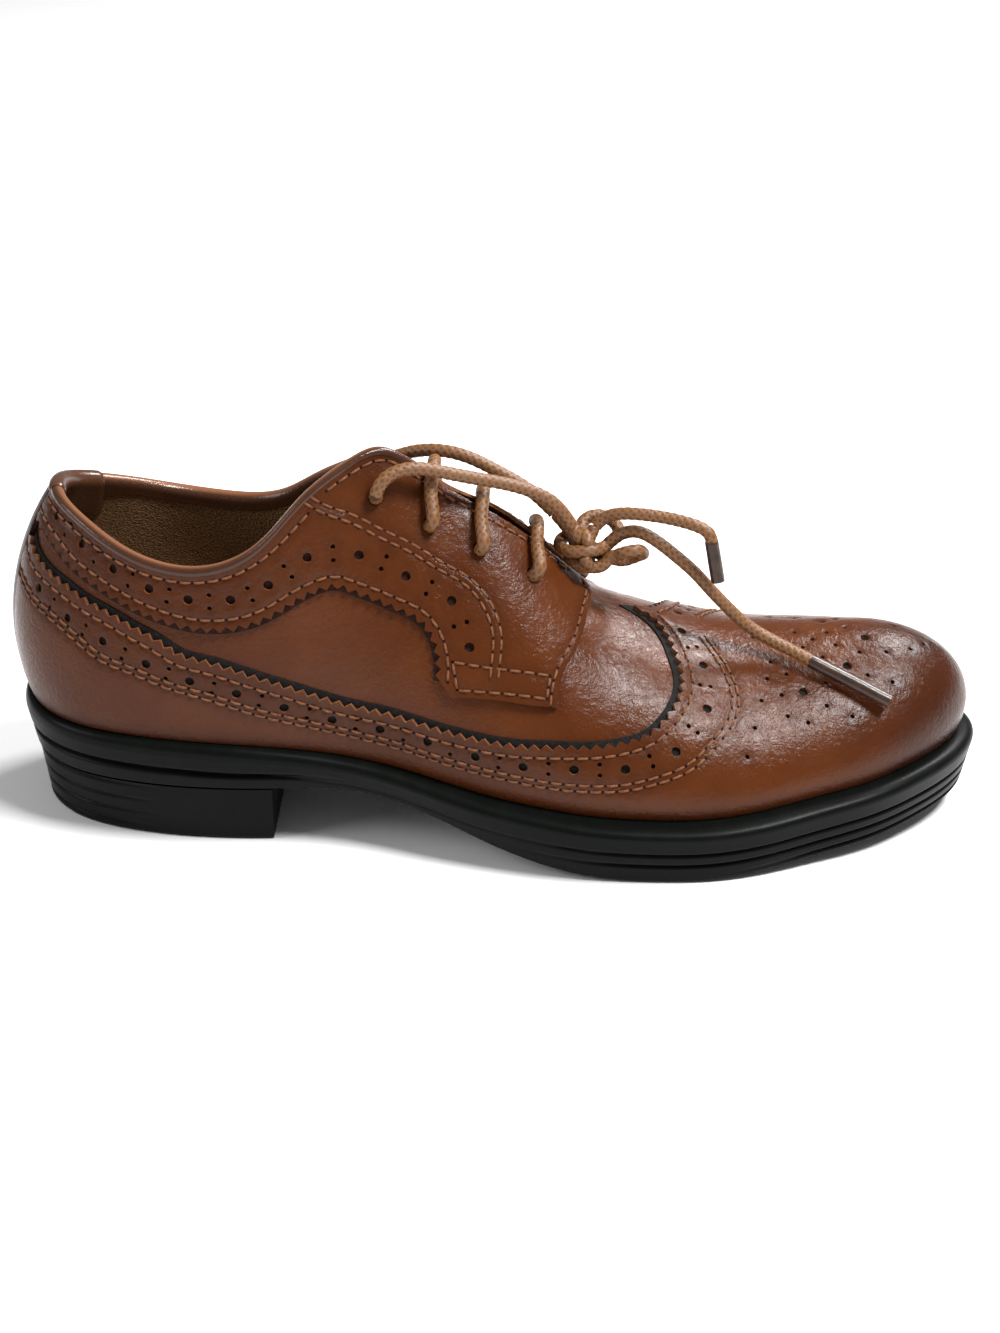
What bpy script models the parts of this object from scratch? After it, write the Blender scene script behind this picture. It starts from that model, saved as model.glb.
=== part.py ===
"""A wing-tip brogue shoe for the right foot, standing empty on its sole.

Metres, +Z up, +X towards the toe, -Y the lateral (outer) side, floor at z = 0.
The upper's outer form is one function, last_surface(s, t): s runs once round the
feather edge, where the upper meets the sole, and t runs up a wall from 0 at the
feather to 1 at the topline, at the lacing edge or at the ridge of the forepart.
Every leather piece is a shell between two offsets of that form.
"""
from collections import namedtuple
import math

import bmesh
import bpy
import numpy as np
from mathutils import Vector

# Driving sizes
LENGTH = 0.254            # outsole, heel to toe
BALL_WIDTH = 0.0965       # outsole across the ball
HEEL_WIDTH = 0.068        # outsole across the heel seat
BACK_HEIGHT = 0.0885      # floor to the top of the heel back
FACING_HEIGHT = 0.102     # floor to the top of the lateral facing
TOE_HEIGHT = 0.0482       # floor to the top of the toe
COLLAR_WIDTH = 0.052      # across the collar
SEAT_HEIGHT = 0.0306      # floor to the heel seat
ARCH_RISE = 0.0166        # floor to the underside of the waist
TOE_SPRING = 0.0064       # floor to the underside of the toe
FOREPART_THICKNESS = 0.0162
WELT_MARGIN = 0.006       # how far the sole stands out past the upper at the ball

# Thicknesses and clearances
CLEARANCE = 0.0003
OVERLAY = 0.0012          # wing, collar band, facings
WALL = 0.0016             # vamp and quarters with their lining
TONGUE_THICKNESS = 0.0018
INSOLE_THICKNESS = 0.0025
LACE_DIAMETER = 0.0034
AGLET_DIAMETER = 0.0036
BACKSTAY_WIDTH = 0.013
FLAP_LIFT = 0.0024        # how far the facings' front corners stand off the vamp

# Depths below the outer form
BASE_OUT = -(OVERLAY + 1.2 * CLEARANCE)
BASE_IN = BASE_OUT - WALL
TONGUE_OUT = BASE_IN - 2.0 * CLEARANCE
TONGUE_IN = TONGUE_OUT - TONGUE_THICKNESS

# Sole details
LIP_DROP = 0.0027         # shoulder from the feather down to the lip
SIDE_INSET = 0.0022       # how far the bottom edge lies inside the lip
RIB_DEPTH = 0.0007
RIB_HALF = 0.0006
RIB_LEVELS = (0.0045, 0.0080)   # below the lip
HEEL_BREAST = -0.231      # share of LENGTH
HEEL_TAPER = 0.0020       # how far the heel's foot lies inside its top
HEEL_RIBS = (0.0155, 0.0110, 0.0068, 0.0026)
HEEL_RIBS_END = 3.4       # station where the heel's grooves have faded out

# One row for each wall section, heel back to toe tip. Stations are counted in rows.
# at: feather, share of LENGTH. lateral, medial: feather, shares of width.
# top_*: upper end of the wall, shares of LENGTH, COLLAR_WIDTH and height.
# rise, swell: lower handle of the wall's curve, up and out. reach, fall: upper handle,
# out and down. All four are shares of BACK_HEIGHT. margin: share of WELT_MARGIN.
Section = namedtuple("Section", "name at width lateral medial margin top_at top_lateral top_medial "
                     "height high_lateral high_medial rise swell reach fall")
SECTIONS = (
    Section("heel back", -0.494, HEEL_WIDTH, 0.015, 0.015, 0.30,
            -0.453, 0.02, 0.02, BACK_HEIGHT, 1.00, 1.00, 0.175, 0.073, 0.147, 0.203),
    Section("heel turn", -0.480, HEEL_WIDTH, -0.191, 0.221, 0.33,
            -0.443, -0.18, 0.22, BACK_HEIGHT, 0.994, 0.966, 0.175, 0.062, 0.113, 0.203),
    Section("heel corner", -0.445, HEEL_WIDTH, -0.331, 0.360, 0.37,
            -0.413, -0.337, 0.356, BACK_HEIGHT, 0.955, 0.927, 0.169, 0.051, 0.056, 0.192),
    Section("heel side", -0.382, HEEL_WIDTH, -0.426, 0.456, 0.40,
            -0.362, -0.475, 0.494, BACK_HEIGHT, 0.893, 0.870, 0.169, 0.040, 0.034, 0.181),
    Section("seat", -0.311, HEEL_WIDTH, -0.463, 0.485, 0.43,
            -0.299, -0.519, 0.529, BACK_HEIGHT, 0.864, 0.836, 0.158, 0.034, 0.028, 0.169),
    Section("breast", -0.236, HEEL_WIDTH, -0.456, 0.456, 0.50,
            -0.240, -0.481, 0.481, BACK_HEIGHT, 0.927, 0.853, 0.158, 0.034, 0.034, 0.169),
    Section("waist", -0.161, HEEL_WIDTH, -0.434, 0.419, 0.60,
            -0.193, -0.385, 0.375, FACING_HEIGHT, 0.922, 0.822, 0.158, 0.034, 0.056, 0.181),
    Section("arch", -0.102, BALL_WIDTH, -0.321, 0.290, 0.70,
            -0.150, -0.260, 0.250, FACING_HEIGHT, 0.989, 0.896, 0.158, 0.045, 0.079, 0.181),
    Section("instep", -0.047, BALL_WIDTH, -0.358, 0.311, 0.83,
            -0.114, -0.163, 0.144, FACING_HEIGHT, 0.999, 0.933, 0.158, 0.051, 0.102, 0.169),
    Section("joint", 0.016, BALL_WIDTH, -0.399, 0.352, 0.92,
            -0.063, -0.106, 0.096, FACING_HEIGHT, 0.903, 0.865, 0.158, 0.056, 0.136, 0.136),
    Section("knuckle", 0.083, BALL_WIDTH, -0.428, 0.399, 1.00,
            0.000, -0.087, 0.087, FACING_HEIGHT, 0.793, 0.771, 0.158, 0.056, 0.158, 0.090),
    Section("throat", 0.150, BALL_WIDTH, -0.435, 0.430, 1.00,
            0.075, 0.010, 0.010, FACING_HEIGHT, 0.613, 0.613, 0.158, 0.056, 0.192, 0.0),
    Section("vamp", 0.213, BALL_WIDTH, -0.425, 0.440, 1.00,
            0.130, 0.029, 0.029, FACING_HEIGHT, 0.547, 0.547, 0.158, 0.056, 0.203, 0.0),
    Section("tread", 0.268, BALL_WIDTH, -0.389, 0.430, 0.97,
            0.185, 0.058, 0.058, TOE_HEIGHT, 1.046, 1.046, 0.158, 0.054, 0.203, 0.0),
    Section("toe side", 0.319, BALL_WIDTH, -0.337, 0.394, 0.93,
            0.240, 0.087, 0.087, TOE_HEIGHT, 0.994, 0.994, 0.158, 0.054, 0.203, 0.0),
    Section("toe turn", 0.374, BALL_WIDTH, -0.275, 0.332, 0.87,
            0.295, 0.106, 0.106, TOE_HEIGHT, 0.990, 0.990, 0.169, 0.052, 0.203, 0.0),
    Section("toe corner", 0.423, BALL_WIDTH, -0.187, 0.254, 0.80,
            0.339, 0.115, 0.115, TOE_HEIGHT, 0.996, 0.996, 0.169, 0.054, 0.203, 0.0),
    Section("toe round", 0.463, BALL_WIDTH, -0.083, 0.171, 0.73,
            0.362, 0.115, 0.115, TOE_HEIGHT, 1.000, 1.000, 0.175, 0.059, 0.215, 0.0),
    Section("toe tip", 0.483, BALL_WIDTH, 0.052, 0.052, 0.70,
            0.374, 0.115, 0.115, TOE_HEIGHT, 1.000, 1.000, 0.175, 0.062, 0.226, 0.0),
)
NAMES = [section.name for section in SECTIONS]
TOE = len(SECTIONS) - 1
THROAT = NAMES.index("throat")
STEPS = (3, 3, 2, 2, 2, 2, 2, 2, 2, 2, 2, 2, 2, 2, 2, 3, 3, 2)   # mesh columns in each row's span

# The sole along its length: share of LENGTH, then shares of ARCH_RISE and TOE_SPRING for the
# underside, and of SEAT_HEIGHT and FOREPART_THICKNESS for the seat that the upper stands on.
Level = namedtuple("Level", "at arch spring seat forepart")
LEVELS = (
    Level(-0.504, 1.00, 0.00, 1.013, 0.00),
    Level(-0.394, 1.00, 0.00, 1.000, 0.00),
    Level(-0.295, 1.00, 0.00, 0.977, 0.00),
    Level(-0.232, 1.00, 0.00, 0.935, 0.00),
    Level(-0.169, 0.99, 0.00, 0.860, 0.00),
    Level(-0.110, 0.89, 0.00, 0.64, 0.26),
    Level(-0.059, 0.70, 0.00, 0.42, 0.53),
    Level(-0.008, 0.42, 0.00, 0.21, 0.79),
    Level(0.043, 0.19, 0.00, 0.08, 0.95),
    Level(0.094, 0.05, 0.00, 0.00, 1.03),
    Level(0.142, 0.00, 0.00, 0.00, 1.00),
    Level(0.197, 0.00, 0.00, 0.00, 1.00),
    Level(0.248, 0.00, 0.14, 0.00, 1.04),
    Level(0.307, 0.00, 0.38, 0.00, 1.12),
    Level(0.370, 0.00, 0.59, 0.00, 1.20),
    Level(0.433, 0.00, 0.81, 0.00, 1.28),
    Level(0.504, 0.00, 1.00, 0.00, 1.36),
)

# Pinked upper edge of the wing, by station and height on the wall.
WING_EDGE = ((0.0, 0.78), (1.3, 0.70), (2.3, 0.66), (3.1, 0.62), (3.8, 0.53), (4.8, 0.40), (5.5, 0.31),
             (6.1, 0.25), (7.5, 0.23), (9.2, 0.25), (10.4, 0.30), (11.4, 0.39), (11.9, 0.48), (12.2, 0.56),
             (12.42, 0.64), (12.52, 0.77), (12.56, 0.89), (12.6, 1.0))
WING_EDGE_STEEP = 11.4    # station from which the edge climbs row by row, with a column at each point
MERGE = 0.08              # columns nearer than this, in stations, are one
SLIVER = 0.015            # a row this near below an edge is left out

# The collar and eyestay band: lower edge and upper edge, each by station and height.
Band = namedtuple("Band", "low_at low high_at high")
BAND = (
    Band(6.0, 0.66, 6.0, 0.96),
    Band(6.6, 0.63, 6.9, 0.81),
    Band(7.2, 0.58, 7.9, 0.72),
    Band(7.8, 0.55, 8.7, 0.70),
    Band(8.3, 0.53, 9.25, 0.69),
    Band(8.45, 0.49, 9.5, 0.62),
    Band(8.35, 0.43, 9.45, 0.53),
    Band(8.2, 0.36, 9.2, 0.41),
)
COLLAR_LOW = ((0.0, 0.87), (1.3, 0.84), (2.2, 0.78), (3.3, 0.74), (4.3, 0.68), (5.0, 0.66), (6.0, 0.66))

# The facing: lower edge along the band, upper edge along the lacing and down the front.
FACING = (
    Band(6.15, 0.97, 6.5, 1.00),
    Band(6.9, 0.81, 7.4, 1.00),
    Band(7.9, 0.72, 8.3, 1.00),
    Band(8.7, 0.70, 9.2, 1.00),
    Band(9.25, 0.69, 10.0, 1.00),
    Band(9.5, 0.62, 10.75, 0.985),
    Band(9.45, 0.53, 10.85, 0.78),
    Band(9.3, 0.46, 10.55, 0.58),
    Band(9.2, 0.41, 10.1, 0.41),
)

FLAP_FROM = 9.0           # station where the facings start to stand off
FLAP_RUN = 1.6

# Blind eyelets of each facing, top to bottom.
EYELETS = ((7.64, 0.83), (8.75, 0.81), (9.59, 0.82), (10.27, 0.82))

TONGUE_SPAN = (7.5, 11.7)   # stations
TONGUE_EDGE = 0.80          # height on the wall

# Routes of the free lace, chosen by hand.
NEAR_STRAND = ((-0.0319, -0.0168, 0.0934), (-0.0306, -0.0162, 0.0962), (-0.0278, -0.0147, 0.0984),
               (-0.0240, -0.0134, 0.0992), (-0.0200, -0.0122, 0.0988), (-0.0150, -0.0107, 0.0973),
               (-0.0075, -0.0082, 0.0948), (0.0000, -0.0062, 0.0926), (0.0065, -0.0050, 0.0902),
               (0.0118, -0.0041, 0.0870), (0.0155, -0.0034, 0.0825), (0.0171, -0.0032, 0.0799))
FAR_STRAND = ((-0.0315, 0.0138, 0.0898), (-0.0250, 0.0105, 0.0935), (-0.0175, 0.0075, 0.0955),
              (-0.0100, 0.0060, 0.0945), (-0.0020, 0.0050, 0.0910), (0.0060, 0.0040, 0.0865),
              (0.0125, 0.0025, 0.0810))
LOOP = ((0.0291, -0.0049, 0.0729), (0.0308, -0.0062, 0.0742), (0.0334, -0.0060, 0.0747),
        (0.0355, -0.0020, 0.0722), (0.0345, 0.0034, 0.0688), (0.0308, 0.0042, 0.0670),
        (0.0288, 0.0026, 0.0680), (0.0272, 0.0010, 0.0692))
SHORT_END = ((0.0246, 0.0003, 0.0801), (0.0290, -0.0010, 0.0826), (0.0355, -0.0030, 0.0834),
             (0.0410, -0.0042, 0.0832), (0.0455, -0.0056, 0.0828), (0.0492, -0.0069, 0.0821),
             (0.0512, -0.0075, 0.0811), (0.0520, -0.0078, 0.0800))
LONG_END = ((0.0284, -0.0010, 0.0760), (0.0336, -0.0020, 0.0782), (0.0385, -0.0036, 0.0766),
            (0.0437, -0.0048, 0.0730), (0.0490, -0.0058, 0.0686), (0.0530, -0.0060, 0.0642),
            (0.0575, -0.0060, 0.0594), (0.0640, -0.0062, 0.0535), (0.0715, -0.0080, 0.0498),
            (0.0790, -0.0118, 0.0475))
SHORT_AGLET = ((0.0524, -0.0080, 0.0788), (0.0546, -0.0095, 0.0682))
LONG_AGLET = ((0.0794, -0.0120, 0.0473), (0.0995, -0.0200, 0.0402))
KNOT_CENTRE = (0.0215, -0.0025, 0.0728)
KNOT_RADII = (0.0072, 0.0062, 0.0062)

# Colour, roughness and metallic value of each material.
FINISHES = {
    "tan leather": ((0.27, 0.095, 0.035), 0.42, 0.0),
    "edge leather": ((0.11, 0.035, 0.016), 0.5, 0.0),
    "tongue leather": ((0.05, 0.024, 0.014), 0.55, 0.0),
    "insole lining": ((0.13, 0.07, 0.035), 0.8, 0.0),
    "black rubber": ((0.008, 0.009, 0.009), 0.4, 0.0),
    "waxed cord": ((0.27, 0.11, 0.03), 0.55, 0.0),
    "aglet film": ((0.06, 0.03, 0.018), 0.25, 0.0),
}


def clear_scene():
    """Remove whatever the file holds."""
    for thing in list(bpy.data.objects):
        bpy.data.objects.remove(thing, do_unlink=True)


def finish(name):
    """Material by name, with its colour, roughness and metallic value."""
    found = bpy.data.materials.get(name)
    if found:
        return found
    colour, roughness, metallic = FINISHES[name]
    material = bpy.data.materials.new(name)
    material.use_nodes = True
    shader = material.node_tree.nodes["Principled BSDF"]
    shader.inputs["Base Color"].default_value = (*colour, 1.0)
    shader.inputs["Roughness"].default_value = roughness
    shader.inputs["Metallic"].default_value = metallic
    return material


def add_solid(name, points, faces, material):
    """Mesh object whose faces are turned to point out."""
    mesh = bpy.data.meshes.new(name)
    mesh.from_pydata([tuple(map(float, point)) for point in points], [], faces)
    shape = bmesh.new()
    shape.from_mesh(mesh)
    bmesh.ops.recalc_face_normals(shape, faces=shape.faces)
    bmesh.ops.triangulate(shape, faces=shape.faces)
    shape.to_mesh(mesh)
    shape.free()
    mesh.shade_smooth()
    mesh.set_sharp_from_angle(angle=math.radians(40))
    thing = bpy.data.objects.new(name, mesh)
    thing.data.materials.append(finish(material))
    bpy.context.collection.objects.link(thing)
    return thing


def cubic_spline(knots, rows, closed=False):
    """Function that gives the smooth curve through the rows at any knot value."""
    knots = np.asarray(knots, float)
    rows = np.asarray(rows, float)
    gaps = np.diff(knots)[:, None]
    slopes = np.diff(rows, axis=0) / gaps
    count = len(knots) - 1 if closed else len(knots)
    system = np.eye(count)
    target = np.zeros((count, rows.shape[1]))
    for i in range(0 if closed else 1, count if closed else count - 1):
        before = gaps[i - 1, 0]
        after = gaps[i, 0]
        system[i] = 0.0
        system[i, i - 1] += before
        system[i, i] += 2.0 * (before + after)
        system[i, (i + 1) % count] += after
        target[i] = 6.0 * (slopes[i] - slopes[i - 1])
    bend = np.linalg.solve(system, target)
    if closed:
        bend = np.vstack([bend, bend[:1]])

    def at(value):
        value = np.asarray(value, float)
        if closed:
            value = knots[0] + np.mod(value - knots[0], knots[-1] - knots[0])
        i = np.clip(np.searchsorted(knots, value, side="right") - 1, 0, len(knots) - 2)
        width = gaps[i]
        after = (value - knots[i])[..., None] / width
        before = 1.0 - after
        return (before * rows[i] + after * rows[i + 1]
                + ((before ** 3 - before) * bend[i] + (after ** 3 - after) * bend[i + 1]) * width ** 2 / 6.0)
    return at


def smooth_path(points, count):
    """Evenly spaced points on the smooth curve through the given points."""
    points = np.asarray(points, float)
    steps = np.linalg.norm(np.diff(points, axis=0), axis=1)
    along = np.concatenate([[0.0], np.cumsum(steps)])
    curve = cubic_spline(along, points)
    fine = curve(np.linspace(0.0, along[-1], 400))
    length = np.concatenate([[0.0], np.cumsum(np.linalg.norm(np.diff(fine, axis=0), axis=1))])
    wanted = np.linspace(0.0, length[-1], count)
    return np.column_stack([np.interp(wanted, length, fine[:, axis]) for axis in range(3)])


def ring_rows():
    """Sections as one closed ring: lateral side heel to toe, then medial side toe to heel."""
    rows = []
    for side, sections in ((-1, SECTIONS), (1, SECTIONS[-2:0:-1])):
        for row in sections:
            across = row.lateral if side < 0 else row.medial
            top_across = row.top_lateral if side < 0 else row.top_medial
            high = row.high_lateral if side < 0 else row.high_medial
            rows.append((row.at * LENGTH, across * row.width, row.margin * WELT_MARGIN,
                         row.top_at * LENGTH, top_across * COLLAR_WIDTH, high * row.height,
                         row.rise * BACK_HEIGHT, row.swell * BACK_HEIGHT,
                         row.reach * BACK_HEIGHT, row.fall * BACK_HEIGHT))
    rows.append(rows[0])
    return np.array(rows)


RING = ring_rows()
RING_AT = np.concatenate([[0.0], np.cumsum(np.hypot(np.diff(RING[:, 0]), np.diff(RING[:, 1])))])
RING_LENGTH = RING_AT[-1]
ring = cubic_spline(RING_AT, RING, closed=True)
level_curve = cubic_spline([row.at * LENGTH for row in LEVELS],
                           [(row.arch * ARCH_RISE + row.spring * TOE_SPRING,
                             row.seat * SEAT_HEIGHT + row.forepart * FOREPART_THICKNESS) for row in LEVELS])


def level(x):
    """Underside and seat of the sole at a place along the shoe; the tread is flat on the floor."""
    return np.maximum(level_curve(x), 0.0)


def round_at(station, side):
    """Place on the ring of a station, counted in rows from the heel back, on a side."""
    rows = np.arange(TOE + 1)
    if side < 0:
        return np.interp(station, rows, RING_AT[:TOE + 1])
    return np.interp(station, rows, RING_AT[::-1][:TOE + 1])


def station_at(s):
    """Station of a place on the ring."""
    return np.interp(np.mod(s, RING_LENGTH), RING_AT, [*range(TOE), *range(TOE, -1, -1)])


def opposite(s):
    """Place on the ring at the same station on the other side."""
    station = station_at(s)
    lateral = np.mod(s, RING_LENGTH) <= RING_AT[TOE]
    return np.where(lateral, round_at(station, 1), round_at(station, -1))


def outward(s):
    """Unit vectors square to the feather edge, in the floor's plane."""
    small = 0.0001
    run = ring(s + small)[..., :2] - ring(s - small)[..., :2]
    away = np.stack([run[..., 1], -run[..., 0], np.zeros(run.shape[:-1])], axis=-1)
    return away / np.linalg.norm(away, axis=-1, keepdims=True)


def last_surface(s, t):
    """Point of the shoe's outer form."""
    s, t = np.broadcast_arrays(np.asarray(s, float), np.asarray(t, float))
    row = ring(s)
    closed = (station_at(s) >= THROAT - 1e-9)[..., None]
    top = np.where(closed, 0.5 * (row[..., 3:6] + ring(opposite(s))[..., 3:6]), row[..., 3:6])
    small = 0.0002
    ahead = ring(s + small)[..., 3:6]
    behind = ring(s - small)[..., 3:6]
    run = ahead[..., 0:1] - behind[..., 0:1]
    steep = np.abs(run) < 0.1 * small
    slope = np.where(closed & ~steep, (ahead[..., 2:3] - behind[..., 2:3]) / np.where(steep, 1.0, run), 0.0)
    up = np.array([0.0, 0.0, 1.0])
    away = outward(s)
    foot = np.concatenate([row[..., 0:2], level(row[..., 0])[..., 1:2] + CLEARANCE], axis=-1)
    low = foot + away * row[..., 7:8] + up * row[..., 6:7]
    high = top + (away + up * away[..., 0:1] * slope) * row[..., 8:9] - up * row[..., 9:10]
    t = t[..., None]
    back = 1.0 - t
    return back ** 3 * foot + 3 * t * back ** 2 * low + 3 * t ** 2 * back * high + t ** 3 * top


def surface_normal(s, t):
    """Unit normals of the outer form, pointing out."""
    s, t = np.broadcast_arrays(np.asarray(s, float), np.asarray(t, float))
    small = 0.0003
    low = np.clip(t - 0.004, 0.0, 1.0)
    high = np.clip(t + 0.004, 0.0, 1.0)
    across = last_surface(s + small, t) - last_surface(s - small, t)
    rise = last_surface(s, high) - last_surface(s, low)
    normal = np.cross(across, rise)
    return normal / np.linalg.norm(normal, axis=-1, keepdims=True)


def offset_surface(s, t, depth):
    """Point at a height above the outer form. The lowest edge stays level with the seat."""
    point = last_surface(s, t)
    moved = point + surface_normal(s, t) * depth
    if t <= 0.0:
        moved = point + outward(np.asarray(s)) * depth
    return moved


def side_columns(first, last):
    """Stations of the mesh columns between two stations."""
    stations = [row + step / STEPS[row] for row in range(TOE) for step in range(STEPS[row])] + [float(TOE)]
    return [station for station in stations if first - 1e-6 <= station <= last + 1e-6]


def shell(name, cells, low, high, material, lift=None):
    """Closed solid between two offsets of the outer form, over cells of (s, t) corners.

    lift, a function of a place, stands both faces off by a further height.
    """
    index = {}
    places = []

    def corner(s, t):
        s = float(np.mod(s, RING_LENGTH))
        if t > 1.0 - 1e-6 and station_at(s) >= THROAT - 1e-6:
            s = min(s, float(opposite(s)))
        key = (round(s, 6) % round(RING_LENGTH, 6), round(t, 5))
        if key not in index:
            index[key] = len(places)
            places.append((s, t))
        return index[key]

    faces = []
    for cell in cells:
        face = []
        for s, t in cell:
            vertex = corner(s, t)
            if vertex not in face:
                face.append(vertex)
        if len(face) > 2:
            faces.append(tuple(face))
    rises = [lift(s, t) if lift else 0.0 for s, t in places]
    outer = [offset_surface(s, t, high + rise) for (s, t), rise in zip(places, rises)]
    inner = [offset_surface(s, t, low + rise) for (s, t), rise in zip(places, rises)]
    count = len(places)
    edges = {}
    for face in faces:
        for a, b in zip(face, face[1:] + face[:1]):
            edges[(a, b)] = True
    solid = list(faces) + [tuple(vertex + count for vertex in reversed(face)) for face in faces]
    solid += [(b, a, a + count, b + count) for a, b in edges if (b, a) not in edges]
    return add_solid(name, outer + inner, solid, material)


def grid_cells(columns):
    """Cells between neighbouring columns, each a list of (s, t) places of equal number."""
    cells = []
    for left, right in zip(columns, columns[1:]):
        for i in range(len(left) - 1):
            cells.append((left[i], right[i], right[i + 1], left[i + 1]))
    return cells


def both_sides(column_at, stations):
    """Columns round the ring: lateral heel to toe, then medial toe to heel."""
    columns = [column_at(station, -1) for station in stations]
    return columns + [column_at(station, 1) for station in stations[-2::-1]]


WALL_HEIGHTS = (0.0, 0.12, 0.25, 0.38, 0.51, 0.64, 0.77, 0.89, 1.0)


def make_upper():
    """Vamp and quarters, lasted: one hollow wall, open at collar, throat and underneath."""
    def column(station, side):
        s = float(round_at(station, side))
        return [(s, t) for t in WALL_HEIGHTS]
    columns = both_sides(column, side_columns(0, TOE))
    return shell("upper", grid_cells(columns), BASE_IN, BASE_OUT, "tan leather")


def backstay_station(side):
    """Station where the pieces beside the backstay start, a clearance from its edge."""
    reach = 0.5 * BACKSTAY_WIDTH
    return float(station_at(reach if side < 0 else RING_LENGTH - reach))


def make_wing():
    """Long wing: from the pinked edge down to the sole and over the whole toe."""
    edge_at, edges = zip(*WING_EDGE)

    def column(station, side):
        s = float(round_at(station, side))
        edge = float(np.interp(station, edge_at, edges))
        return [(s, t if t < edge - SLIVER else edge) for t in WALL_HEIGHTS]
    start = max(backstay_station(side) for side in (-1, 1))
    front = [station for station in edge_at if WING_EDGE_STEEP <= station]
    stations = [station for station in side_columns(0, TOE)
                if station > start + MERGE and all(abs(station - other) > MERGE for other in front)]
    columns = both_sides(column, sorted([start, *stations, *front]))
    return shell("wing", grid_cells(columns), -OVERLAY, 0.0, "tan leather")


def band_cells(rows, side, steps, parts, low_gap=0.0):
    """Cells of a strip ruled between a low and a high edge, in some parts from edge to edge."""
    columns = []
    for first, second, count in zip(rows, rows[1:], steps):
        for step in range(count):
            mix = step / count
            columns.append([a + (b - a) * mix for a, b in zip(first, second)])
    columns.append(list(rows[-1]))
    lines = []
    for low_at, low, high_at, high in columns:
        low_s = float(round_at(low_at, side))
        high_s = float(round_at(high_at, side))
        wide = np.linalg.norm(last_surface(high_s, high) - last_surface(low_s, low))
        trim = min(low_gap / wide, 0.4)
        line = []
        for share in [trim] + [part / parts for part in range(1, parts + 1)]:
            line.append((low_s + (high_s - low_s) * share, low + (high - low) * share))
        lines.append(line)
    cells = grid_cells(lines)
    if side > 0:
        cells = [cell[::-1] for cell in cells]
    return cells


def make_collar(side, name):
    """Collar band and eyestay in one piece, from the backstay to the bar above the wing."""
    stations, lows = zip(*COLLAR_LOW)
    start = backstay_station(side)
    rows = []
    for station in [start] + [x for x in side_columns(0, 5.75) if x > start + MERGE]:
        rows.append(Band(station, float(np.interp(station, stations, lows)), station, 1.0))
    rows += list(BAND)
    cells = band_cells(rows, side, [1] * (len(rows) - len(BAND)) + [2] * (len(BAND) - 1), 3)
    return shell(name, cells, -OVERLAY, 0.0, "tan leather")


def flap_lift(s, t):
    """Height by which the facings' front corners stand off the vamp."""
    forward = min(max((float(station_at(s)) - FLAP_FROM) / FLAP_RUN, 0.0), 1.0)
    upper = min(max((t - 0.5) / 0.4, 0.0), 1.0)
    return FLAP_LIFT * forward * forward * (3.0 - 2.0 * forward) * upper


def make_facing(side, name):
    """Lacing flap with four blind eyelets, its front edge free over the vamp."""
    cells = band_cells(FACING, side, [2] * (len(FACING) - 1), 5, low_gap=1.5 * CLEARANCE)
    return shell(name, cells, -OVERLAY, 0.0, "tan leather", lift=flap_lift)


def make_backstay():
    """Strip down the back seam, a little proud of wing and collar."""
    half = 0.5 * BACKSTAY_WIDTH - CLEARANCE
    columns = []
    for share in (-1.0, -0.5, 0.0, 0.5, 1.0):
        s = -share * half
        columns.append([(s, t) for t in (0.0, 0.15, 0.3, 0.45, 0.6, 0.75, 0.88, 1.0)])
    columns = columns[::-1]
    return shell("backstay", grid_cells(columns), -OVERLAY, 0.0004, "edge leather")


def make_tongue():
    """Crowned sheet under the facings, from below the vamp to the top of the lacing."""
    rings = []
    for station in np.linspace(*TONGUE_SPAN, 10):
        posts = []
        for side, heights in ((-1, (TONGUE_EDGE, 0.88, 0.95)), (1, (0.95, 0.88, TONGUE_EDGE))):
            for height in heights:
                posts.append(offset_surface(float(round_at(station, side)), height, TONGUE_OUT))
        rings.append(smooth_path(posts, 11))
    outer = np.array(rings)
    along = np.gradient(outer, axis=0)
    across = np.gradient(outer, axis=1)
    normal = np.cross(along, across)
    normal /= np.linalg.norm(normal, axis=2, keepdims=True)
    inner = outer - normal * TONGUE_THICKNESS
    return add_sheet("tongue", outer, inner, "tongue leather")


def add_sheet(name, outer, inner, material):
    """Closed solid between two grids of points."""
    rows, columns = outer.shape[:2]
    count = rows * columns
    faces = []

    def at(i, j, layer):
        return i * columns + j + layer * count
    for i in range(rows - 1):
        for j in range(columns - 1):
            for layer in (0, 1):
                faces.append((at(i, j, layer), at(i + 1, j, layer), at(i + 1, j + 1, layer), at(i, j + 1, layer)))
    rim = [(i, 0) for i in range(rows)] + [(rows - 1, j) for j in range(1, columns)]
    rim += [(i, columns - 1) for i in range(rows - 2, -1, -1)] + [(0, j) for j in range(columns - 2, 0, -1)]
    for (a, b), (c, d) in zip(rim, rim[1:] + rim[:1]):
        faces.append((at(a, b, 0), at(c, d, 0), at(c, d, 1), at(a, b, 1)))
    return add_solid(name, np.vstack([outer.reshape(-1, 3), inner.reshape(-1, 3)]), faces, material)


def outline(margin, stations):
    """Lateral and medial points of the feather edge moved out by a margin of each station."""
    sides = []
    for side in (-1, 1):
        s = round_at(np.array(stations), side)
        row = ring(s)
        out = margin(row)
        sides.append(row[:, :2] + outward(s)[:, :2] * out[:, None])
    return sides


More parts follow.
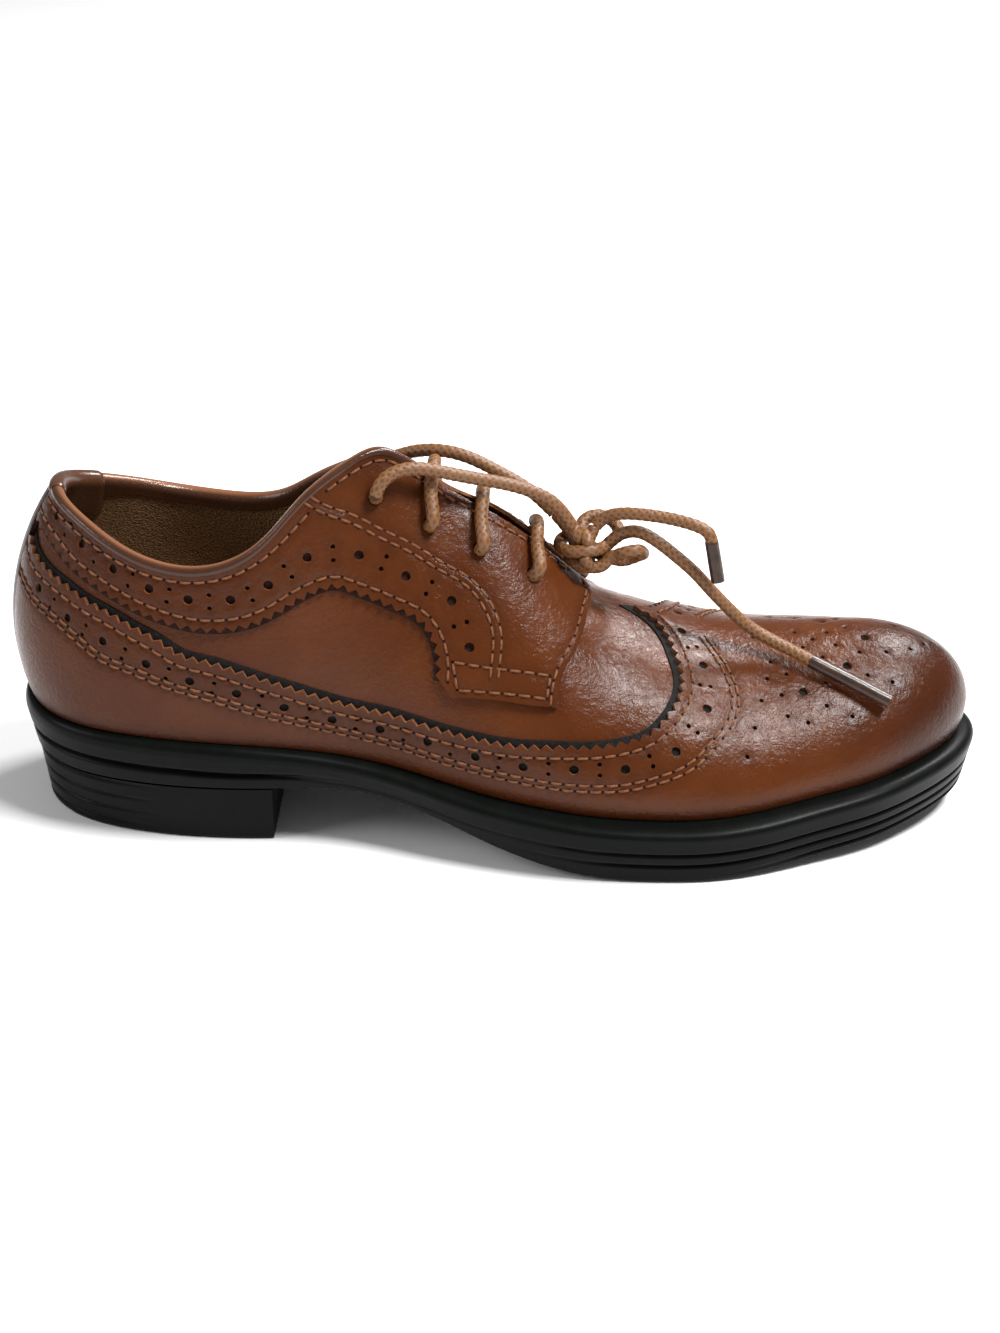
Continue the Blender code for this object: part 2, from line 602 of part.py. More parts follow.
def ladder(levels, name, material, front_face=False):
    """Solid from rings of equal number: walls between rings, and caps of rungs from side to side.

    Each level is (lateral points, medial points). Where both sides share an end point, the
    rungs close there. With front_face the last rung is a wall, and not a point.
    """
    points = []
    rings = []
    for lateral, medial in levels:
        shared_back = np.allclose(lateral[0], medial[0], atol=1e-6)
        shared_front = np.allclose(lateral[-1], medial[-1], atol=1e-6)
        start = len(points)
        points.extend(lateral)
        left = list(range(start, start + len(lateral)))
        kept = medial[1 if shared_back else 0:len(medial) - (1 if shared_front else 0)]
        first = len(points)
        points.extend(kept)
        right = list(range(first, first + len(kept)))
        if shared_back:
            right = [left[0]] + right
        if shared_front:
            right = right + [left[-1]]
        rings.append((left, right))
    faces = []
    for (left, right), (next_left, next_right) in zip(rings, rings[1:]):
        for here, there in ((left, next_left), (right, next_right)):
            for i in range(len(here) - 1):
                faces.append((here[i], here[i + 1], there[i + 1], there[i]))
        if front_face:
            faces.append((left[-1], right[-1], next_right[-1], next_left[-1]))
    for left, right in (rings[0], rings[-1]):
        for i in range(len(left) - 1):
            rung = [left[i], left[i + 1], right[i + 1], right[i]]
            faces.append(tuple(dict.fromkeys(rung)))
    return add_solid(name, points, faces, material)


def make_outsole():
    """Outsole with its shoulder, lip, side ribs, waist and toe spring."""
    stations = side_columns(0, TOE)
    levels = []

    def ring_level(extra, height_of):
        sides = outline(lambda row: row[:, 2] + extra, stations)
        result = []
        for side in sides:
            under, seat = level(side[:, 0]).T
            result.append(np.column_stack([side, height_of(under, seat)]))
        levels.append(tuple(result))
    shoulder = outline(lambda row: 0.0 * row[:, 2], stations)
    levels.append(tuple(np.column_stack([side, level(side[:, 0])[:, 1]]) for side in shoulder))
    shoulder = outline(lambda row: 0.78 * row[:, 2], stations)
    levels.append(tuple(np.column_stack([side, level(side[:, 0])[:, 1] - 0.38 * LIP_DROP]) for side in shoulder))
    ring_level(0.0, lambda under, seat: seat - LIP_DROP)
    inset = 0.0
    for drop in RIB_LEVELS:
        inset += 0.2 * SIDE_INSET
        ring_level(-inset, lambda under, seat: seat - LIP_DROP - drop + RIB_HALF)
        ring_level(-inset - RIB_DEPTH, lambda under, seat: seat - LIP_DROP - drop)
        ring_level(-inset, lambda under, seat: seat - LIP_DROP - drop - RIB_HALF)
    ring_level(-0.8 * SIDE_INSET, lambda under, seat: under + 0.0008)
    ring_level(-SIDE_INSET - 0.0006, lambda under, seat: under)
    return ladder(levels, "outsole", "black rubber")


def make_heel():
    """Heel block with a flat foot, a straight breast and four grooves round its back."""
    breast = HEEL_BREAST * LENGTH
    table = side_columns(0, TOE)
    middle = 0.5 * (ring(round_at(np.array(table), -1))[:, 0] + ring(round_at(np.array(table), 1))[:, 0])
    last = float(np.interp(breast, middle, table))
    stations = [x for x in table if x < last - 0.1] + [last]
    top = ARCH_RISE - CLEARANCE
    fade = np.clip(1.0 - np.array(stations) / HEEL_RIBS_END, 0.0, 1.0) ** 0.5
    heights = [(0.0, 0.0006, 0.0), (0.0007, 0.0, 0.0)]
    for rib in sorted(HEEL_RIBS):
        heights += [(rib - RIB_HALF, 0.0, 0.0), (rib, 0.0, 1.0), (min(rib + RIB_HALF, top - 0.0002), 0.0, 0.0)]
    heights.append((top, 0.0, 0.0))
    levels = []
    for height, chamfer, groove in heights:
        taper = HEEL_TAPER * (1.0 - height / top)
        inset = SIDE_INSET + 0.0004 + taper + chamfer + groove * RIB_DEPTH * fade
        sides = []
        for side in outline(lambda row: row[:, 2] - inset, stations):
            forward = 0.12 * height * (side[:, 0] - side[0, 0]) / (side[-1, 0] - side[0, 0])
            sides.append(np.column_stack([side[:, 0] + forward, side[:, 1], np.full(len(side), height)]))
        levels.append(tuple(sides))
    return ladder(levels, "heel", "black rubber", front_face=True)


def make_insole():
    """Insole board and sock, inside the wall."""
    stations = side_columns(0, TOE)
    levels = []
    for lift in (CLEARANCE, CLEARANCE + INSOLE_THICKNESS):
        sides = outline(lambda row: 0.0 * row[:, 2] + BASE_IN - 2.0 * CLEARANCE, stations)
        levels.append(tuple(np.column_stack([side, level(side[:, 0])[:, 1] + lift]) for side in sides))
    return ladder(levels, "insole", "insole lining")


def tube(name, points, diameter, material, sides=2):
    """Round cord along a polyline, with filled ends."""
    curve = bpy.data.curves.new(name, "CURVE")
    curve.dimensions = "3D"
    curve.bevel_depth = diameter / 2.0
    curve.bevel_resolution = sides
    curve.use_fill_caps = True
    line = curve.splines.new("POLY")
    line.points.add(len(points) - 1)
    for spot, point in zip(line.points, points):
        spot.co = (*map(float, point), 1.0)
    thing = bpy.data.objects.new(name, curve)
    curve.materials.append(finish(material))
    bpy.context.collection.objects.link(thing)
    return thing


def make_bar(number):
    """Bar of lace from a near eyelet over the tongue to the far one, clear of the leather."""
    station, height = EYELETS[number]
    clear = LACE_DIAMETER / 2.0 + 2.5 * CLEARANCE
    posts = []
    for side, heights in ((-1, (height, 0.5 * (height + 1.0), 0.985)), (1, (0.985, 0.5 * (height + 1.0), height))):
        for spot in heights:
            s = float(round_at(station, side))
            posts.append(offset_surface(s, spot, clear + flap_lift(s, spot)))
    return tube("lace_bar_%d" % number, smooth_path(posts, 14), LACE_DIAMETER, "waxed cord")


def make_knot():
    """Knot as one rounded lump that the strands, the loop and the ends meet."""
    shape = bmesh.new()
    bmesh.ops.create_icosphere(shape, subdivisions=3, radius=1.0)
    for vertex in shape.verts:
        lump = 1.0 + 0.07 * math.sin(4.0 * vertex.co.x + 2.0) * math.cos(5.0 * vertex.co.z)
        vertex.co = Vector(size * value * lump for size, value in zip(KNOT_RADII, vertex.co))
    mesh = bpy.data.meshes.new("lace_knot")
    shape.to_mesh(mesh)
    shape.free()
    mesh.shade_smooth()
    thing = bpy.data.objects.new("lace_knot", mesh)
    thing.location = KNOT_CENTRE
    mesh.materials.append(finish("waxed cord"))
    bpy.context.collection.objects.link(thing)
    return thing


def make_laces():
    """Bars, strands, knot, loop and ends."""
    for number in range(1, len(EYELETS)):
        make_bar(number)
    make_knot()
    for name, route, count in (("lace_strand_near", NEAR_STRAND, 18), ("lace_strand_far", FAR_STRAND, 16),
                               ("lace_loop", LOOP, 11), ("lace_end_short", SHORT_END, 13),
                               ("lace_end_long", LONG_END, 20)):
        tube(name, smooth_path(route, count), LACE_DIAMETER, "waxed cord")
    tube("aglet_short", SHORT_AGLET, AGLET_DIAMETER, "aglet film")
    tube("aglet_long", LONG_AGLET, AGLET_DIAMETER, "aglet film")


def main():
    clear_scene()
    make_outsole()
    make_heel()
    make_insole()
    make_upper()
    make_wing()
    for side, word in ((-1, "lateral"), (1, "medial")):
        make_collar(side, "collar_" + word)
        make_facing(side, "facing_" + word)
    make_backstay()
    make_tongue()
    make_laces()


main()
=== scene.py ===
# %% [markdown]
# # A wing-tip brogue shoe
#
# This lesson dresses the plain solids of a lace-up brogue shoe with everything that a shoemaker's
# bench adds: panels with pinked edges and punched holes, rows of stitches, a braided lace, grain and
# gloss. The solids come first, as a fixed frame. Nothing in them is moved: each piece made here is
# worked out from the same numbers, so it falls into place by itself.

# %% Load the fixed frame
import math
from collections import namedtuple

import bpy
import numpy as np
from mathutils import Matrix, Vector
from mathutils.geometry import delaunay_2d_cdt
from mathutils.kdtree import KDTree


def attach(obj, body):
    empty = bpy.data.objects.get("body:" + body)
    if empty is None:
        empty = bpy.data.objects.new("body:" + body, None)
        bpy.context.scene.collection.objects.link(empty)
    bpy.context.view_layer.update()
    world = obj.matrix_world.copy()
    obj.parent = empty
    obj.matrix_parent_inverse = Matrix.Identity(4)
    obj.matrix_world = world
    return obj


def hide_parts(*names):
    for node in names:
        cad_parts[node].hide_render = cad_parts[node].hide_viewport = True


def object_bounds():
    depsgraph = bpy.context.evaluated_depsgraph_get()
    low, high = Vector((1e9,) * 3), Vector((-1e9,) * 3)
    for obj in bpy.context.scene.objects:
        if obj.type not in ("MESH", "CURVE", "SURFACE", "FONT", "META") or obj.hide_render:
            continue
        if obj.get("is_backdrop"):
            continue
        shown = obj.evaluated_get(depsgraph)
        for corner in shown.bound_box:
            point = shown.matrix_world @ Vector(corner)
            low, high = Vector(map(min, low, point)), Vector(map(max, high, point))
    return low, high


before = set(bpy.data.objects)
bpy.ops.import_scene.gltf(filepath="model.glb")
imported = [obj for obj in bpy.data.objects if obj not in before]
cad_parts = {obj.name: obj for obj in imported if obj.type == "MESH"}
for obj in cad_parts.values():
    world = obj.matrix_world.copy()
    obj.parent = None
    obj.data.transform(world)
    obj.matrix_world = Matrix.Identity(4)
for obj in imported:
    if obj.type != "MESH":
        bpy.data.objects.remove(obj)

MM = 0.001
CAD_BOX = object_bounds()
print("solids:", len(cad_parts), "box", [round(x, 4) for corner in CAD_BOX for x in corner])

# %% [markdown]
# ## The sizes
#
# A shoe is cut to its last, the foot-shaped block that it is built on. A few lengths set the last,
# and everything else is a share of them. They are the sizes of the solids, in metres.

# %% Driving sizes
LENGTH = 0.254
BALL_WIDTH = 0.0965
HEEL_WIDTH = 0.068
BACK_HEIGHT = 0.0885
FACING_HEIGHT = 0.102
TOE_HEIGHT = 0.0482
COLLAR_WIDTH = 0.052
SEAT_HEIGHT = 0.0306
ARCH_RISE = 0.0166
TOE_SPRING = 0.0064
FOREPART_THICKNESS = 0.0162
WELT_MARGIN = 0.006
CLEARANCE = 0.0003
OVERLAY = 0.0012
WALL = 0.0016
TONGUE_THICKNESS = 0.0018
INSOLE_THICKNESS = 0.0025
LACE_DIAMETER = 0.0034
AGLET_DIAMETER = 0.0036
BACKSTAY_WIDTH = 0.013
FLAP_LIFT = 0.0024
FLAP_FROM = 9.0
FLAP_RUN = 1.6
BASE_OUT = -(OVERLAY + 1.2 * CLEARANCE)
BASE_IN = BASE_OUT - WALL
TONGUE_OUT = BASE_IN - 2.0 * CLEARANCE
print("leather on leather:", round((OVERLAY + WALL) / MM, 1), "mm")

# %% [markdown]
# ## The wall's sections
#
# The upper is a wall that stands on the sole's edge, the feather. Nineteen sections, from the heel
# back to the toe tip, say where the wall starts, where it ends, and how it bulges between. Each one
# is a single cubic curve with two handles, as in a drawing program.

# %% Table of the wall's sections
Section = namedtuple("Section", "at width lateral medial margin top_at top_lateral top_medial "
                     "height high_lateral high_medial rise swell reach fall")
SECTIONS = (
    Section(-0.494, HEEL_WIDTH, 0.015, 0.015, 0.30,
            -0.453, 0.02, 0.02, BACK_HEIGHT, 1.00, 1.00, 0.175, 0.073, 0.147, 0.203),
    Section(-0.480, HEEL_WIDTH, -0.191, 0.221, 0.33,
            -0.443, -0.18, 0.22, BACK_HEIGHT, 0.994, 0.966, 0.175, 0.062, 0.113, 0.203),
    Section(-0.445, HEEL_WIDTH, -0.331, 0.360, 0.37,
            -0.413, -0.337, 0.356, BACK_HEIGHT, 0.955, 0.927, 0.169, 0.051, 0.056, 0.192),
    Section(-0.382, HEEL_WIDTH, -0.426, 0.456, 0.40,
            -0.362, -0.475, 0.494, BACK_HEIGHT, 0.893, 0.870, 0.169, 0.040, 0.034, 0.181),
    Section(-0.311, HEEL_WIDTH, -0.463, 0.485, 0.43,
            -0.299, -0.519, 0.529, BACK_HEIGHT, 0.864, 0.836, 0.158, 0.034, 0.028, 0.169),
    Section(-0.236, HEEL_WIDTH, -0.456, 0.456, 0.50,
            -0.240, -0.481, 0.481, BACK_HEIGHT, 0.927, 0.853, 0.158, 0.034, 0.034, 0.169),
    Section(-0.161, HEEL_WIDTH, -0.434, 0.419, 0.60,
            -0.193, -0.385, 0.375, FACING_HEIGHT, 0.922, 0.822, 0.158, 0.034, 0.056, 0.181),
    Section(-0.102, BALL_WIDTH, -0.321, 0.290, 0.70,
            -0.150, -0.260, 0.250, FACING_HEIGHT, 0.989, 0.896, 0.158, 0.045, 0.079, 0.181),
    Section(-0.047, BALL_WIDTH, -0.358, 0.311, 0.83,
            -0.114, -0.163, 0.144, FACING_HEIGHT, 0.999, 0.933, 0.158, 0.051, 0.102, 0.169),
    Section(0.016, BALL_WIDTH, -0.399, 0.352, 0.92,
            -0.063, -0.106, 0.096, FACING_HEIGHT, 0.903, 0.865, 0.158, 0.056, 0.136, 0.136),
    Section(0.083, BALL_WIDTH, -0.428, 0.399, 1.00,
            0.000, -0.087, 0.087, FACING_HEIGHT, 0.793, 0.771, 0.158, 0.056, 0.158, 0.090),
    Section(0.150, BALL_WIDTH, -0.435, 0.430, 1.00,
            0.075, 0.010, 0.010, FACING_HEIGHT, 0.613, 0.613, 0.158, 0.056, 0.192, 0.0),
    Section(0.213, BALL_WIDTH, -0.425, 0.440, 1.00,
            0.130, 0.029, 0.029, FACING_HEIGHT, 0.547, 0.547, 0.158, 0.056, 0.203, 0.0),
    Section(0.268, BALL_WIDTH, -0.389, 0.430, 0.97,
            0.185, 0.058, 0.058, TOE_HEIGHT, 1.046, 1.046, 0.158, 0.054, 0.203, 0.0),
    Section(0.319, BALL_WIDTH, -0.337, 0.394, 0.93,
            0.240, 0.087, 0.087, TOE_HEIGHT, 0.994, 0.994, 0.158, 0.054, 0.203, 0.0),
    Section(0.374, BALL_WIDTH, -0.275, 0.332, 0.87,
            0.295, 0.106, 0.106, TOE_HEIGHT, 0.990, 0.990, 0.169, 0.052, 0.203, 0.0),
    Section(0.423, BALL_WIDTH, -0.187, 0.254, 0.80,
            0.339, 0.115, 0.115, TOE_HEIGHT, 0.996, 0.996, 0.169, 0.054, 0.203, 0.0),
    Section(0.463, BALL_WIDTH, -0.083, 0.171, 0.73,
            0.362, 0.115, 0.115, TOE_HEIGHT, 1.000, 1.000, 0.175, 0.059, 0.215, 0.0),
    Section(0.483, BALL_WIDTH, 0.052, 0.052, 0.70,
            0.374, 0.115, 0.115, TOE_HEIGHT, 1.000, 1.000, 0.175, 0.062, 0.226, 0.0),
)
TOE = len(SECTIONS) - 1
THROAT = 11
print("sections:", len(SECTIONS), "throat at", THROAT, "toe tip at", TOE)

# %% Table of the sole's levels
# Share of LENGTH, then shares of ARCH_RISE and TOE_SPRING for the underside, and of SEAT_HEIGHT
# and FOREPART_THICKNESS for the seat that the upper stands on.
LEVELS = (
    (-0.504, 1.00, 0.00, 1.013, 0.00),
    (-0.394, 1.00, 0.00, 1.000, 0.00),
    (-0.295, 1.00, 0.00, 0.977, 0.00),
    (-0.232, 1.00, 0.00, 0.935, 0.00),
    (-0.169, 0.99, 0.00, 0.860, 0.00),
    (-0.110, 0.89, 0.00, 0.64, 0.26),
    (-0.059, 0.70, 0.00, 0.42, 0.53),
    (-0.008, 0.42, 0.00, 0.21, 0.79),
    (0.043, 0.19, 0.00, 0.08, 0.95),
    (0.094, 0.05, 0.00, 0.00, 1.03),
    (0.142, 0.00, 0.00, 0.00, 1.00),
    (0.197, 0.00, 0.00, 0.00, 1.00),
    (0.248, 0.00, 0.14, 0.00, 1.04),
    (0.307, 0.00, 0.38, 0.00, 1.12),
    (0.370, 0.00, 0.59, 0.00, 1.20),
    (0.433, 0.00, 0.81, 0.00, 1.28),
    (0.504, 0.00, 1.00, 0.00, 1.36),
)
print("levels:", len(LEVELS))

# %% [markdown]
# ## A smooth curve through rows
#
# A spline runs through every row of a table and bends as little as it can, as a thin strip of wood
# would. It is solved once, and then gives the row at any place, for thousands of places at a time.

# %% Spline through rows
def cubic_spline(knots, rows, closed=False):
    """Function that gives the smooth curve through the rows at any knot value."""
    knots = np.asarray(knots, float)
    rows = np.asarray(rows, float)
    gaps = np.diff(knots)[:, None]
    slopes = np.diff(rows, axis=0) / gaps
    count = len(knots) - 1 if closed else len(knots)
    system = np.eye(count)
    target = np.zeros((count, rows.shape[1]))
    for i in range(0 if closed else 1, count if closed else count - 1):
        before = gaps[i - 1, 0]
        after = gaps[i, 0]
        system[i] = 0.0
        system[i, i - 1] += before
        system[i, i] += 2.0 * (before + after)
        system[i, (i + 1) % count] += after
        target[i] = 6.0 * (slopes[i] - slopes[i - 1])
    bend = np.linalg.solve(system, target)
    if closed:
        bend = np.vstack([bend, bend[:1]])

    def at(value):
        value = np.asarray(value, float)
        if closed:
            value = knots[0] + np.mod(value - knots[0], knots[-1] - knots[0])
        i = np.clip(np.searchsorted(knots, value, side="right") - 1, 0, len(knots) - 2)
        width = gaps[i]
        after = (value - knots[i])[..., None] / width
        before = 1.0 - after
        straight = before * rows[i] + after * rows[i + 1]
        curved = (before ** 3 - before) * bend[i] + (after ** 3 - after) * bend[i + 1]
        return straight + curved * width ** 2 / 6.0
    return at


def along_of(points):
    """Length from the first point to each point."""
    return np.concatenate([[0.0], np.cumsum(np.linalg.norm(np.diff(points, axis=0), axis=1))])


def evenly(points, count):
    """That many evenly spaced points on the smooth curve through the given points."""
    points = np.asarray(points, float)
    curve = cubic_spline(along_of(points), points)
    fine = curve(np.linspace(0.0, along_of(points)[-1], 400))
    length = along_of(fine)
    wanted = np.linspace(0.0, length[-1], count)
    return np.column_stack([np.interp(wanted, length, fine[:, axis]) for axis in range(3)])


print("halfway along a bend:", evenly([(0, 0, 0), (1, 1, 0), (2, 0, 0)], 3)[1])

# %% [markdown]
# ## The outer form
#
# All panels lie on one surface. A place on it has two numbers: how far round the feather edge, and
# how high up the wall, from 0 at the sole to 1 at the topline or at the ridge over the toes. This is
# how leather is thought of on the bench: as a flat pattern that bends round the last. The form could
# be sculpted, but then no panel could be measured. Functions give every point, at any fineness.

# %% The ring round the feather edge
def ring_rows():
    """Sections as one closed ring: lateral side heel to toe, then medial side toe to heel."""
    rows = []
    for side, sections in ((-1, SECTIONS), (1, SECTIONS[-2:0:-1])):
        for row in sections:
            across = row.lateral if side < 0 else row.medial
            top_across = row.top_lateral if side < 0 else row.top_medial
            high = row.high_lateral if side < 0 else row.high_medial
            rows.append((row.at * LENGTH, across * row.width, row.margin * WELT_MARGIN,
                         row.top_at * LENGTH, top_across * COLLAR_WIDTH, high * row.height,
                         row.rise * BACK_HEIGHT, row.swell * BACK_HEIGHT,
                         row.reach * BACK_HEIGHT, row.fall * BACK_HEIGHT))
    rows.append(rows[0])
    return np.array(rows)


RING = ring_rows()
RING_AT = along_of(RING[:, :2])
RING_LENGTH = RING_AT[-1]
ring = cubic_spline(RING_AT, RING, closed=True)
level_curve = cubic_spline([row[0] * LENGTH for row in LEVELS],
                           [(row[1] * ARCH_RISE + row[2] * TOE_SPRING,
                             row[3] * SEAT_HEIGHT + row[4] * FOREPART_THICKNESS) for row in LEVELS])


def level(x):
    """Underside and seat of the sole at a place along the shoe."""
    return np.maximum(level_curve(x), 0.0)


def round_at(station, side):
    """Place on the ring of a station, counted in rows from the heel back, on a side."""
    rows = np.arange(TOE + 1)
    lateral = np.interp(station, rows, RING_AT[:TOE + 1])
    medial = np.interp(station, rows, RING_AT[::-1][:TOE + 1])
    return np.where(np.asarray(side) < 0, lateral, medial)


def station_at(s):
    """Station of a place on the ring."""
    return np.interp(np.mod(s, RING_LENGTH), RING_AT, [*range(TOE), *range(TOE, -1, -1)])


def opposite(s):
    """Place on the ring at the same station on the other side."""
    lateral = np.mod(s, RING_LENGTH) <= RING_AT[TOE]
    return round_at(station_at(s), np.where(lateral, 1, -1))


print("round the feather:", round(RING_LENGTH / MM), "mm")

# %% The wall over the ring
def outward(s):
    """Unit vectors square to the feather edge, in the floor's plane."""
    small = 0.0001
    run = ring(s + small)[..., :2] - ring(s - small)[..., :2]
    away = np.stack([run[..., 1], -run[..., 0], np.zeros(run.shape[:-1])], axis=-1)
    return away / np.linalg.norm(away, axis=-1, keepdims=True)


def last_surface(s, t):
    """Point of the shoe's outer form."""
    s, t = np.broadcast_arrays(np.asarray(s, float), np.asarray(t, float))
    row = ring(s)
    closed = (station_at(s) >= THROAT - 1e-9)[..., None]
    top = np.where(closed, 0.5 * (row[..., 3:6] + ring(opposite(s))[..., 3:6]), row[..., 3:6])
    small = 0.0002
    ahead = ring(s + small)[..., 3:6]
    behind = ring(s - small)[..., 3:6]
    run = ahead[..., 0:1] - behind[..., 0:1]
    steep = np.abs(run) < 0.1 * small
    slope = np.where(closed & ~steep, (ahead[..., 2:3] - behind[..., 2:3]) / np.where(steep, 1.0, run), 0.0)
    up = np.array([0.0, 0.0, 1.0])
    away = outward(s)
    foot = np.concatenate([row[..., 0:2], level(row[..., 0])[..., 1:2] + CLEARANCE], axis=-1)
    low = foot + away * row[..., 7:8] + up * row[..., 6:7]
    high = top + (away + up * away[..., 0:1] * slope) * row[..., 8:9] - up * row[..., 9:10]
    t = t[..., None]
    back = 1.0 - t
    return back ** 3 * foot + 3 * t * back ** 2 * low + 3 * t ** 2 * back * high + t ** 3 * top


def surface_normal(s, t):
    """Unit normals of the outer form, pointing out."""
    s, t = np.broadcast_arrays(np.asarray(s, float), np.asarray(t, float))
    small = 0.0003
    low = np.clip(t - 0.004, 0.0, 1.0)
    high = np.clip(t + 0.004, 0.0, 1.0)
    across = last_surface(s + small, t) - last_surface(s - small, t)
    rise = last_surface(s, high) - last_surface(s, low)
    normal = np.cross(across, rise)
    return normal / np.linalg.norm(normal, axis=-1, keepdims=True)


print("toe top at", np.round(last_surface(round_at(16.0, -1), 1.0), 4))

# %% [markdown]
# ## The pattern
#
# For cutting, both sides are laid out on one sheet: u is the station, from 0 at the heel back to 18
# at the toe tip, and v runs across, from -1 at the lateral feather over 0 at the top to 1 at the
# medial feather. A step on the leather is measured in metres and turned into a step on the pattern,
# so a round hole stays round wherever it is punched.

# %% From the pattern to the leather and back
EDGE = 1e-9              # the smallest v: it keeps a point of the top line on its own side


def place(u, v):
    """Ring place and wall height of pattern points."""
    return round_at(u, np.where(np.asarray(v) < 0, -1, 1)), 1.0 - np.abs(v)


def leather(u, v, height=0.0):
    """Points at a height over the outer form."""
    s, t = place(u, v)
    return last_surface(s, t) + surface_normal(s, t) * np.asarray(height)[..., None]


def slopes(u, v):
    """How far a point on the leather moves with u and with v."""
    side = np.where(v < 0, -1.0, 1.0)
    low_u = np.clip(u - 0.01, 0.0, TOE)
    high_u = np.clip(u + 0.01, 0.0, TOE)
    low_v = np.clip(np.abs(v) - 0.004, EDGE, 1.0)
    high_v = np.clip(np.abs(v) + 0.004, EDGE, 1.0)
    by_u = (leather(high_u, v) - leather(low_u, v)) / (high_u - low_u)[..., None]
    by_v = (leather(u, side * high_v) - leather(u, side * low_v)) / (side * (high_v - low_v))[..., None]
    return by_u, by_v


def nudge(u, v, shift):
    """Pattern points after a step of a few millimetres on the leather."""
    by_u, by_v = slopes(u, v)
    a = (by_u * by_u).sum(-1)
    b = (by_u * by_v).sum(-1)
    c = (by_v * by_v).sum(-1)
    p = (by_u * shift).sum(-1)
    q = (by_v * shift).sum(-1)
    room = a * c - b * b
    return u + (c * p - b * q) / room, v + (a * q - b * p) / room


def wall(rows, side):
    """Pattern points of rows of station and wall height, on a side."""
    table = np.array(rows, float)
    return np.column_stack([table[:, 0], side * np.maximum(1.0 - table[:, 1], EDGE)])


print("one station ahead is", np.round(slopes(np.array([7.0]), np.array([-0.5]))[0][0] / MM, 1), "mm")

# %% Lines on the pattern
def trace(points, step):
    """Pattern points at even steps along the smooth line through a few of them."""
    points = np.asarray(points, float)
    side = np.where(points[:, 1] < 0, -1.0, 1.0)
    marks = along_of(leather(points[:, 0], points[:, 1]))
    fine = cubic_spline(marks, points)(np.linspace(0.0, marks[-1], 24 * len(points)))
    fine[:, 0] = np.clip(fine[:, 0], 0.0, TOE)
    if abs(side.sum()) == len(side):
        fine[:, 1] = side[0] * np.clip(side[0] * fine[:, 1], EDGE, 1.0)
    length = along_of(leather(fine[:, 0], fine[:, 1]))
    count = max(2, int(round(length[-1] / step)) + 1)
    wanted = np.linspace(0.0, length[-1], count)
    return np.column_stack([np.interp(wanted, length, fine[:, k]) for k in (0, 1)])


def travel(line):
    """Unit tangents of a line on the leather, normals, and the direction to its left."""
    points = leather(line[:, 0], line[:, 1])
    ahead = np.gradient(points, axis=0)
    ahead /= np.linalg.norm(ahead, axis=1, keepdims=True)
    normal = surface_normal(*place(line[:, 0], line[:, 1]))
    left = np.cross(normal, ahead)
    return ahead, normal, left / np.linalg.norm(left, axis=1, keepdims=True)


def beside(line, distance):
    """The line moved to its left on the leather, by one distance or one for each point."""
    left = travel(line)[2]
    u, v = nudge(line[:, 0], line[:, 1], left * np.asarray(distance).reshape(-1, 1))
    return np.column_stack([np.clip(u, 0.0, TOE), v])


print("ten centimetres of line in", len(trace([(5.0, -0.5), (9.0, -0.5)], 0.001)), "points")

# %% [markdown]
# ## The camera
#
# The picture is taken from the lateral side, sixty centimetres away and well above the shoe, with
# a long lens. A camera could be aimed with a constraint, but a matrix also holds its slight roll:
# its columns are the camera's right, its up, and the way back towards the photographer.

# %% Camera
LOOK_AT = Vector((-0.0008, 0.0, 0.0370))
AZIMUTH = math.radians(1.0)
ELEVATION = math.radians(28.5)
ROLL = math.radians(0.8)
CAMERA_DISTANCE = 0.600
FOCAL_PIXELS = 2262.0
PICTURE_HEIGHT = 1333.0
SENSOR = 36.0


def add_camera():
    back = Vector((math.sin(AZIMUTH) * math.cos(ELEVATION), -math.cos(AZIMUTH) * math.cos(ELEVATION),
                   math.sin(ELEVATION)))
    right = Vector((math.cos(AZIMUTH), math.sin(AZIMUTH), 0.0))
    up = back.cross(right)
    rolled_right = right * math.cos(ROLL) + up * math.sin(ROLL)
    rolled_up = up * math.cos(ROLL) - right * math.sin(ROLL)
    data = bpy.data.cameras.new("camera")
    data.sensor_width = SENSOR
    data.lens = FOCAL_PIXELS * SENSOR / PICTURE_HEIGHT
    data.clip_start = 0.01
    data.clip_end = 20.0
    camera = bpy.data.objects.new("camera", data)
    turn = Matrix((rolled_right, rolled_up, back)).transposed()
    camera.matrix_world = Matrix.Translation(LOOK_AT + back * CAMERA_DISTANCE) @ turn.to_4x4()
    bpy.context.scene.collection.objects.link(camera)
    bpy.context.scene.camera = camera
    return camera


print("camera lens:", round(add_camera().data.lens, 1), "mm")

# %% [markdown]
# ## Putting a mesh into the scene
#
# Every piece goes through one helper: it makes the mesh, shades it smooth with sharp edges left
# sharp, gives it its materials, and lets it ride on the shoe's one body. Most pieces are a table of
# points or a tube, so two more helpers list the faces of those.

# %% Helper for pieces
def add_piece(name, points, faces, materials, replaces=(), face_materials=None, sharp=42.0):
    """Mesh object from points and faces, riding on the shoe."""
    mesh = bpy.data.meshes.new(name)
    mesh.from_pydata(np.asarray(points, float).tolist(), [], [tuple(map(int, face)) for face in faces])
    for material in materials:
        mesh.materials.append(material)
    if face_materials is not None:
        mesh.polygons.foreach_set("material_index", np.asarray(face_materials, np.int32))
    mesh.validate()
    mesh.shade_smooth()
    mesh.set_sharp_from_angle(angle=math.radians(sharp))
    piece = bpy.data.objects.new(name, mesh)
    bpy.context.scene.collection.objects.link(piece)
    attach(piece, "root")
    if replaces:
        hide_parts(*replaces)
    return piece


